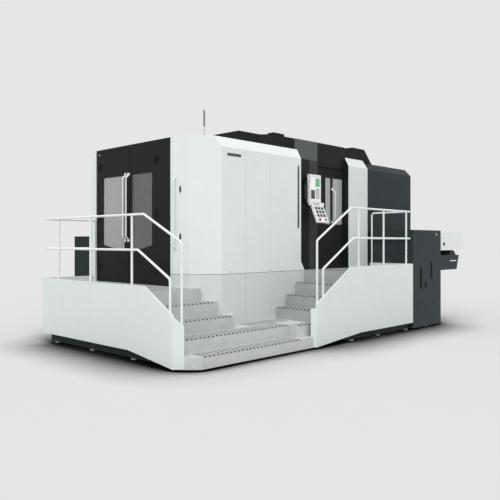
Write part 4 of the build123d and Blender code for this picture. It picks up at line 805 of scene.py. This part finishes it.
lamp_bright = glowing("lamp cell behind its cover", "#1c5643", "#246a52", 0.12)
cell = bmesh.new()
add_block(cell, CELL_LOW, CELL_HIGH)
lamp_cells = laid_out(
    "lamp_cells", shape_mesh("cell", cell, 1 * MM, 1), lamp_bright, CELL_FIRST,
    columns=CELL_COUNT, column_step=at(0, 0, CELL_PITCH),
)
mount("lamp_cells", lamp_cells, None, "base")

# %% Screws along the cover's foot
SEAM = 1200
SCREW_FIRST = at(-2309, COVER_FRONT, SEAM + 34)
SCREW_COUNT, SCREW_PITCH = 3, 924

cover_screws = laid_out(
    "cover_screws", screw_mesh(9 * MM, 6 * MM), screw_steel, SCREW_FIRST,
    columns=SCREW_COUNT, column_step=at(SCREW_PITCH, 0, 0), turn=FACE_FRONT,
)
mount("cover_screws", cover_screws, None, "base")
print("cover parts mounted:", made_pieces)

# %% [markdown]
# ## Doors
# Every glazed door has its pane held in a black rubber profile. The bead
# follows the pane's own outline, read from the solid, so it fits whatever
# shape the pane has. The long tube handles have round flanges. On the
# sliding door they sit on its face, and on the swinging leaves they stand
# round the handles' ends, 27 mm in front of the leaves' surface. The soft
# lip on which those leaves meet comes further down.

# %% Rubber round the panes
SEAL_RADIUS, SEAL_LIFT = 7 * MM, 1 * MM


def seal(name, node, facing, body):
    """A rubber bead round a pane's outline, just proud of its face."""
    rings = [[p + Vector(facing) * SEAL_LIFT for p in ring] for ring in rim_of(node, facing)]
    mount(name, bead(name, rings, SEAL_RADIUS), door_rubber, body)


seal("far_pane_seal", "far_window", (-1, 0, 0), "far_door")
seal("near_pane_seal", "near_window", (-1, 0, 0), "near_door")
seal("operator_pane_seal", "operator_window", (0, -1, 0), "sliding_door")

# %% Flanges under the tube handles
FLANGE_PROFILE = ((1.0, 0.0), (1.0, 0.45), (0.9, 0.6), (0.62, 0.72), (0.56, 1.0))
FLANGE_SIDES = 28
HANDLE_FLANGE = (24 * MM, 10 * MM)
HANDLE_END = 14 * MM


def flange_mesh(radius, height):
    """A turned flange with a stepped edge, standing along +Z on its own origin."""
    return turned("flange", FLANGE_PROFILE, FLANGE_SIDES, radius, height)


def handle_flanges(name, node, body, turn, start):
    """Two flanges, one under each end of an upright handle."""
    low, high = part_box(node)
    foot = Vector(start) + Vector((0, 0, low.z + HANDLE_END))
    mesh = laid_out(
        name, flange_mesh(*HANDLE_FLANGE), brushed_tube, foot, columns=2,
        column_step=(0, 0, high.z - low.z - 2 * HANDLE_END), turn=turn,
    )
    mount(name, mesh, None, body)


for label, body in (("far", "far_door"), ("near", "near_door")):
    low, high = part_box(label + "_handle")
    handle_flanges(label + "_handle_flanges", label + "_handle", body, FACE_LEFT,
                   (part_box(label + "_leaf")[0].x, (low.y + high.y) / 2, 0))
low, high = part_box("operator_handle")
handle_flanges("operator_handle_flanges", "operator_handle", "sliding_door", FACE_FRONT,
               ((low.x + high.x) / 2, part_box("operator_door")[0].y, 0))
print("door parts mounted:", len(made_pieces))

# %% [markdown]
# ## Steps and decks
# The sheet of each tread is punched with long slots, and the slots hold
# grip strips, dark against the sheet. The strips are cut to the slots
# themselves: every small closed opening in a tread's top face gives the
# outline of one strip, which sits a millimetre below the sheet. Where a
# slot ends near the step's edge, its strip is folded 15 mm down over the
# nosing.

# %% Grip strips in the slots
STEP_NODES = ("lower_steps", "left_flight", "left_deck", "right_flight", "right_deck")
STRIP_DEPTH, STRIP_BELOW = 5 * MM, 1 * MM
SLOT_NARROWEST, SLOT_WIDEST = 5 * MM, 60 * MM
NOSE_LOOK, NOSE_REACH, NOSE_DROP = 60 * MM, 24 * MM, 15 * MM
NOSE_OUT, NOSE_IN, NOSE_UP = 2 * MM, 1 * MM, 0.6 * MM


def slot_rings(node):
    """The outlines of the slots in a solid's level faces."""
    shape = merged_copy(node)
    rings = []
    for ring in outlines([f for f in shape.faces if f.normal.z > 0.999]):
        spans = [max(p[i] for p in ring) - min(p[i] for p in ring) for i in (0, 1)]
        if 3 <= len(ring) <= 12 and SLOT_NARROWEST < min(spans) < SLOT_WIDEST:
            rings.append(ring)
    shape.free()
    return rings


def nosing(solid_tree, ring):
    """The block of a strip's fold, where its slot comes close to a step's edge, or None."""
    low = Vector([min(p[i] for p in ring) for i in range(3)])
    high = Vector([max(p[i] for p in ring) for i in range(3)])
    axis = 0 if high.x - low.x > high.y - low.y else 1
    way = Vector([1.0 if i == axis else 0.0 for i in range(3)])
    start = (low + high) / 2
    start[axis] = low[axis] - NOSE_LOOK
    start.z -= NOSE_DROP / 2
    hit = solid_tree.ray_cast(start, way, NOSE_LOOK)[0]
    if hit is None or low[axis] - hit[axis] > NOSE_REACH:
        return None
    low[axis], high[axis] = hit[axis] - NOSE_OUT, low[axis] + NOSE_IN
    return low - Vector((0, 0, NOSE_DROP)), high + Vector((0, 0, NOSE_UP))


def strips(node):
    """Grip strips that fill a solid's slots, folded over the step's edge where a slot nears it."""
    solid = bmesh.new()
    solid.from_mesh(frame["nodes"][node].data)
    solid_tree = BVHTree.FromBMesh(solid)
    shape = bmesh.new()
    for ring in slot_rings(node):
        middle = sum(ring, Vector()) / len(ring)
        outline = [p + (middle - p) * 0.01 - Vector((0, 0, STRIP_BELOW)) for p in ring]
        add_prism(shape, outline, Vector((0, 0, -STRIP_DEPTH)))
        nose = nosing(solid_tree, ring)
        if nose:
            add_block(shape, *nose)
    solid.free()
    return shape_mesh(node + "_grip", shape)


for node in STEP_NODES:
    mesh = strips(node)
    if len(mesh.vertices):
        mount(node + "_grip", mesh, grip_rubber, "base")
    print(node, "grip strips", len(slot_rings(node)))

# %% [markdown]
# ### Feet of the handrails
# Each post is welded to a round flange, which is held down by four bolts, a
# grid of two by two from the tree.

# %% Rail flanges
LEFT_DECK, RIGHT_DECK = 1000, 1200
LEFT_POSTS = [(-4000, y) for y in (870, -100, -1190)] + [(-3030, 1340)]
RIGHT_POSTS = [(x, -2420) for x in (-140, 670, 1480)] + [(1660, -1535)]
FOOT_FLANGE, FOOT_BOLT = (29 * MM, 9 * MM), (4.5 * MM, 6 * MM)
BOLT_OUT, BOLT_SEAT = 16, 3


def rail_feet(name, places, height):
    """Flanges on a deck, with four bolts round each, as one mesh."""
    flange, bolt = flange_mesh(*FOOT_FLANGE), screw_mesh(*FOOT_BOLT)
    meshes = []
    for x, y in places:
        meshes.append(laid_out(name, flange, rail_coat, at(x, y, height)))
        first = at(x - BOLT_OUT, y - BOLT_OUT, height + BOLT_SEAT)
        meshes.append(laid_out(
            name, bolt, rail_coat, first, columns=2, column_step=at(2 * BOLT_OUT, 0, 0),
            rows=2, row_step=at(0, 2 * BOLT_OUT, 0),
        ))
    mount(name, joined(name, meshes), rail_coat, "base")


rail_feet("left_rail_feet", LEFT_POSTS, LEFT_DECK)
rail_feet("right_rail_feet", RIGHT_POSTS, RIGHT_DECK)

# %% [markdown]
# ## The operator's panel
# The screen hangs at the end of a swivelling housing, and a keyboard tilts
# below it. The screen shows a pale field with a green corner, a dark block
# and a grey column, the keys are dark caps in a white plate, and a pale
# mark shows which way the feed dial points. The fields are thin tiles on
# the glass. Each key's cap is cut to that key's own outline, read from the
# solid as for the panes, and a little smaller.

# %% Fields on the screen
TILE_OUT, TILE_IN = 1.5 * MM, 1 * MM
FIELDS = (  # name, then left, right, foot and head as shares of the screen
    ("screen_corner", 0.52, 0.97, 0.60, 0.95, screen_green),
    ("screen_block", 0.05, 0.46, 0.06, 0.44, screen_dark),
    ("screen_column", 0.54, 0.95, 0.08, 0.52, screen_grey),
)
screen_low, screen_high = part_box("screen")
screen_size = screen_high - screen_low
for name, left, right, foot, head, finish in FIELDS:
    tile = bmesh.new()
    add_block(
        tile,
        (screen_low.x + left * screen_size.x, screen_low.y - TILE_OUT,
         screen_low.z + foot * screen_size.z),
        (screen_low.x + right * screen_size.x, screen_low.y + TILE_IN,
         screen_low.z + head * screen_size.z),
    )
    mount(name, shape_mesh(name, tile, 0.4 * MM, 1), finish, "control_panel")

# %% Key caps on the tilted plate
KEY_FACING = (0, -0.917, 0.399)
KEY_BELOW = 4 * MM
CAP_SHARE, CAP_THICK = 0.92, 2.2


def key_caps(rings):
    """A thin dark cap on top of every raised key, cut to the key's own outline."""
    shape = bmesh.new()
    for ring in rings:
        middle = sum(ring, Vector()) / len(ring)
        outline = [middle + (p - middle) * CAP_SHARE for p in ring]
        add_prism(shape, outline, Vector(KEY_FACING) * CAP_THICK * MM)
    return shape_mesh("key_caps", shape, 0.8 * MM, 1)


key_rings = rim_of("keyboard", KEY_FACING, KEY_BELOW)
mount("key_caps", key_caps(key_rings), key_plastic, "keys")
print("keys:", len(key_rings))

# %% Hinge cover between the screen and the keyboard
HINGE_COVER = (at(-286, -1489, 2437), at(-24, -1481, 2472))

cover = bmesh.new()
add_block(cover, *HINGE_COVER)
cover_mesh = shape_mesh("hinge_cover", cover, 3 * MM)
mount("hinge_cover", cover_mesh, door_rubber, "control_panel")

# %% Mark on the feed dial
MARK_UP, MARK_THICK = 17.6, 2
MARK_SIDES = ((-1.6, -2.0), (1.6, -2.0), (1.6, 13.0), (-1.6, 13.0))

dial_low, dial_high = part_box("feed_dial")
dial_middle = (dial_low + dial_high) / 2 + Vector(KEY_FACING) * MARK_UP * MM
along_plate = Vector((0, KEY_FACING[2], -KEY_FACING[1]))
mark = bmesh.new()
corners = [dial_middle + Vector((a * MM, 0, 0)) + along_plate * b * MM for a, b in MARK_SIDES]
add_prism(mark, corners, Vector(KEY_FACING) * -MARK_THICK * MM)
mount("dial_mark", shape_mesh("dial_mark", mark), white_plastic, "dial")

# %% [markdown]
# ## Coolant tank and swarf conveyor
# The cabinet at the right holds the pumps. Its door has slats in each vent,
# so the pumps stay cool and the oil mist stays in. The mist separator
# beside it has a small dark gauge, and the conveyor a pale wear strip. The
# electric cabinet at the back of the left side breathes through two banks
# of louvres in its door. Its solid door is plain, and they are sunk in it
# so far that they stand out by less than half a millimetre.

# %% Louvres
LOUVRE_PITCH = 26
LOUVRE_SECTION = ((-8, 0), (7, 0), (-2, 6), (-8, 6.5))


def louvre_mesh(length):
    """One pressed louvre along X, a folded lip that stands out towards +Z, on its own middle."""
    shape = bmesh.new()
    outline = [Vector((-length / 2 * MM, y * MM, z * MM)) for y, z in LOUVRE_SECTION]
    add_prism(shape, outline, Vector((length * MM, 0, 0)))
    return shape_mesh("louvre", shape, 0.8 * MM, 1)


def louvres(length, start, count, turn, finish):
    """A bank of louvres above each other, given from the lowest one."""
    return laid_out("louvres", louvre_mesh(length), finish, at(*start), rows=count,
                    row_step=at(0, 0, LOUVRE_PITCH), turn=turn)


# %% Louvres of the electric cabinet, slats of the tank door
ELECTRIC_X, ELECTRIC_Y, ELECTRIC_LENGTH, ELECTRIC_COUNT = -2894, 1900, 420, 7
ELECTRIC_FEET = (("low", 330), ("high", 1420))
SLAT_Y, SLAT_LENGTH = -2441, 41
VENTS = ((1995, 808, 15), (2430, 998, 12), (2200, 812, 4))  # middle, lowest slat and count

for label, foot in ELECTRIC_FEET:
    start = (ELECTRIC_X, ELECTRIC_Y, foot)
    bank = louvres(ELECTRIC_LENGTH, start, ELECTRIC_COUNT, FACE_LEFT, dark_coat)
    mount("electric_louvres_" + label, bank, None, "electric_cabinet_door")
slats = [louvres(SLAT_LENGTH, (x, SLAT_Y, foot), count, FACE_FRONT, black_coat)
         for x, foot, count in VENTS]
slat_mesh = joined("tank_vent_slats", slats)
mount("tank_vent_slats", slat_mesh, black_coat, "cabinet_door")

# %% Gauge and wear strip
GAUGE_SIZE, GAUGE_PLACE = (38 * MM, 12 * MM), at(3110, -2390, 1670)
WEAR_STRIP = (at(3374, -2393, 1298), at(3678, -2388, 1318))

gauge = laid_out(
    "mist_gauge", flange_mesh(*GAUGE_SIZE), knob_plastic, GAUGE_PLACE, turn=FACE_FRONT,
)
mount("mist_gauge", gauge, None, "base")
strip = bmesh.new()
add_block(strip, *WEAR_STRIP)
strip_mesh = shape_mesh("conveyor_strip", strip, 1 * MM, 1)
mount("conveyor_strip", strip_mesh, mist_coat, "base")

# %% [markdown]
# ## Small parts of the doors and the roof
# The swinging leaves close on a soft lip, which rides with the near leaf,
# and the far leaf has a pale plug near its top. Here they stand 20 and
# 27 mm in front of the leaves' surface. The roof is lifted by four eye
# bolts, and its fans blow out through two banks of louvres. The left two
# eye bolts and both banks are placed about 40 mm above the roof under them.

# %% Lip and plug of the setup doors
LEAF_LIP = (at(-3000, 374, 1022), at(-2990, 384, 3312))
PLUG_SIZE, PLUG_PLACE = (13 * MM, 4 * MM), at(-2997, 1236, 3284)

lip = bmesh.new()
add_block(lip, *LEAF_LIP)
lip_mesh = shape_mesh("leaf_lip", lip, 2 * MM)
mount("leaf_lip", lip_mesh, door_rubber, "near_door")
plug = laid_out("leaf_plug", screw_mesh(*PLUG_SIZE), white_plastic, PLUG_PLACE, turn=FACE_LEFT)
mount("leaf_plug", plug, None, "far_door")

# %% Eye bolts and air outlets on the roof
ROOF_TOP = 3620
EYE_PLACES = [(x, y) for x in (-1400, 1500) for y in (-600, 1900)]
EYE_RADIUS, EYE_UP, EYE_SIDES, EYE_WIRE = 26, 40, 20, 7 * MM
EYE_FOOT = (22 * MM, 14 * MM)
OUTLET_LENGTH, OUTLET_FIRST = 500, at(-700, 700, ROOF_TOP + 2)
OUTLET_COUNT, OUTLET_PITCH, BANK_PITCH = 14, 30, 1400


def eye_bolts():
    """Four eye bolts: a ring on a short foot, near the corners of the high roof."""
    rings, feet = [], []
    for x, y in EYE_PLACES:
        rings.append([
            at(x + EYE_RADIUS * math.cos(math.tau * i / EYE_SIDES), y,
               ROOF_TOP + EYE_UP + EYE_RADIUS * math.sin(math.tau * i / EYE_SIDES))
            for i in range(EYE_SIDES)
        ])
        foot = flange_mesh(*EYE_FOOT)
        feet.append(laid_out("foot", foot, plated_steel, at(x, y, ROOF_TOP)))
    return joined("eye_bolts", [bead("eyes", rings, EYE_WIRE), *feet])


mount("eye_bolts", eye_bolts(), plated_steel, "base")
outlets = laid_out(
    "air_outlets", louvre_mesh(OUTLET_LENGTH), black_coat, OUTLET_FIRST, columns=OUTLET_COUNT,
    column_step=at(0, OUTLET_PITCH, 0), rows=2, row_step=at(BANK_PITCH, 0, 0),
)
mount("air_outlets", outlets, black_coat, "base")
print("pieces made:", len(made_pieces))

# %% [markdown]
# ## Floor, light and camera
# The machine stands on a wide flat sheet of pale paper, and the world shows
# nearly the same tone behind it, so there is no line behind the machine.
# Gloss reflections and looks through glass see the sheet as that one tone.
# Close to the machine the paper's own tone is darkened by how much of the
# sky the machine takes from it (ambient occlusion), most of all at its
# edge. That stands in for part of the soft shade, of which the two lights
# below give too little: a wide sun from the left, the front and above, and
# the world, which fills the rest.

# %% Studio floor
FLOOR_TONE = "#e6e6e6"
PAPER, PAPER_SHADED = "#cccccc", "#202020"
FLOOR_REACH = 60.0
SHADE_REACH, SHADE_FULL = 1.1, 0.5


def backdrop_paper():
    """Pale matt paper, darker near the machine, and one even tone in gloss and through glass."""
    made = bpy.data.materials.new("pale backdrop paper")
    made.use_nodes = True
    tree = made.node_tree
    tree.nodes.clear()
    path = add(tree, "ShaderNodeLightPath").outputs
    seen = add(
        tree, "ShaderNodeMath",
        {0: path["Is Glossy Ray"], 1: path["Is Transmission Ray"]}, operation="MAXIMUM",
    )
    near = add(tree, "ShaderNodeAmbientOcclusion", {"Distance": SHADE_REACH}, samples=8)
    open_sky = add(tree, "ShaderNodeMapRange", {
        "Value": near.outputs["AO"], "From Min": SHADE_FULL, "From Max": 1.0,
    })
    tone = add(
        tree, "ShaderNodeMix",
        {"Factor": open_sky.outputs[0], 6: colour(PAPER_SHADED), 7: colour(PAPER)},
        data_type="RGBA",
    )
    paper = add(tree, "ShaderNodeBsdfDiffuse", {"Color": tone.outputs[2]})
    even = add(tree, "ShaderNodeEmission", {"Color": colour(FLOOR_TONE), "Strength": 1.0})
    shown = add(
        tree, "ShaderNodeMixShader",
        {0: seen.outputs[0], 1: paper.outputs[0], 2: even.outputs[0]},
    )
    add(tree, "ShaderNodeOutputMaterial", {"Surface": shown.outputs[0]})
    return made


def floor_sheet():
    """A wide flat sheet of paper, a millimetre below the machine's feet."""
    shape = bmesh.new()
    bmesh.ops.create_grid(shape, x_segments=8, y_segments=8, size=FLOOR_REACH)
    mesh = bpy.data.meshes.new("studio_floor")
    shape.to_mesh(mesh)
    shape.free()
    mesh.materials.append(backdrop_paper())
    sheet = bpy.data.objects.new("studio_floor", mesh)
    bpy.context.collection.objects.link(sheet)
    sheet.location.z = -1 * MM
    return sheet


studio_floor = floor_sheet()
print("floor sheet, metres each way from its middle:", FLOOR_REACH)

# %% World light
WORLD_FILL = 0.75

world = bpy.data.worlds.new("studio")
bpy.context.scene.world = world
world.use_nodes = True
sky = world.node_tree
sky.nodes.clear()
ray = add(sky, "ShaderNodeLightPath").outputs
through = add(
    sky, "ShaderNodeMath",
    {0: ray["Is Camera Ray"], 1: ray["Is Transmission Ray"]}, operation="MAXIMUM",
)
fill = add(sky, "ShaderNodeBackground", {"Color": colour("#ffffff"), "Strength": WORLD_FILL})
back = add(sky, "ShaderNodeBackground", {"Color": colour(FLOOR_TONE), "Strength": 1.0})
both = add(
    sky, "ShaderNodeMixShader",
    {0: through.outputs[0], 1: fill.outputs[0], 2: back.outputs[0]},
)
add(sky, "ShaderNodeOutputWorld", {"Surface": both.outputs[0]})
print("world fill:", WORLD_FILL)

# %% Wide sun
SUN_WAY = (0.45, 0.36, -1.0)
SUN_STRENGTH, SUN_SPREAD = 2.0, 60.0

sun = bpy.data.lights.new("wide sun", "SUN")
sun.energy = SUN_STRENGTH
sun.angle = math.radians(SUN_SPREAD)
sun_holder = bpy.data.objects.new("wide sun", sun)
bpy.context.collection.objects.link(sun_holder)
sun_holder.rotation_euler = Vector(SUN_WAY).to_track_quat("-Z", "Y").to_euler()
print("sun strength and spread:", SUN_STRENGTH, SUN_SPREAD)

# %% [markdown]
# ## The camera
# The photograph was taken off the machine's left front corner, here about
# 12 m from its middle, at a standing person's eye height and level, so
# upright lines stay upright. The picture is then slid a little with the
# lens shift instead of a tilt.

# %% Camera
EYE = (-9.10, -8.44, 1.706)
HEADING = -46.05
LENS, SENSOR = 44.06, 36.0
LENS_SHIFT = -0.0154
SIGHT = 200.0

lens = bpy.data.cameras.new("eye")
lens.lens = LENS
lens.sensor_width = SENSOR
lens.shift_y = LENS_SHIFT
lens.clip_end = SIGHT
eye = bpy.data.objects.new("eye", lens)
bpy.context.collection.objects.link(eye)
eye.location = EYE
eye.rotation_euler = (math.radians(90), 0, math.radians(HEADING))
bpy.context.scene.camera = eye
bpy.context.scene.view_settings.view_transform = "Standard"
print("camera at", EYE, "heading", HEADING)
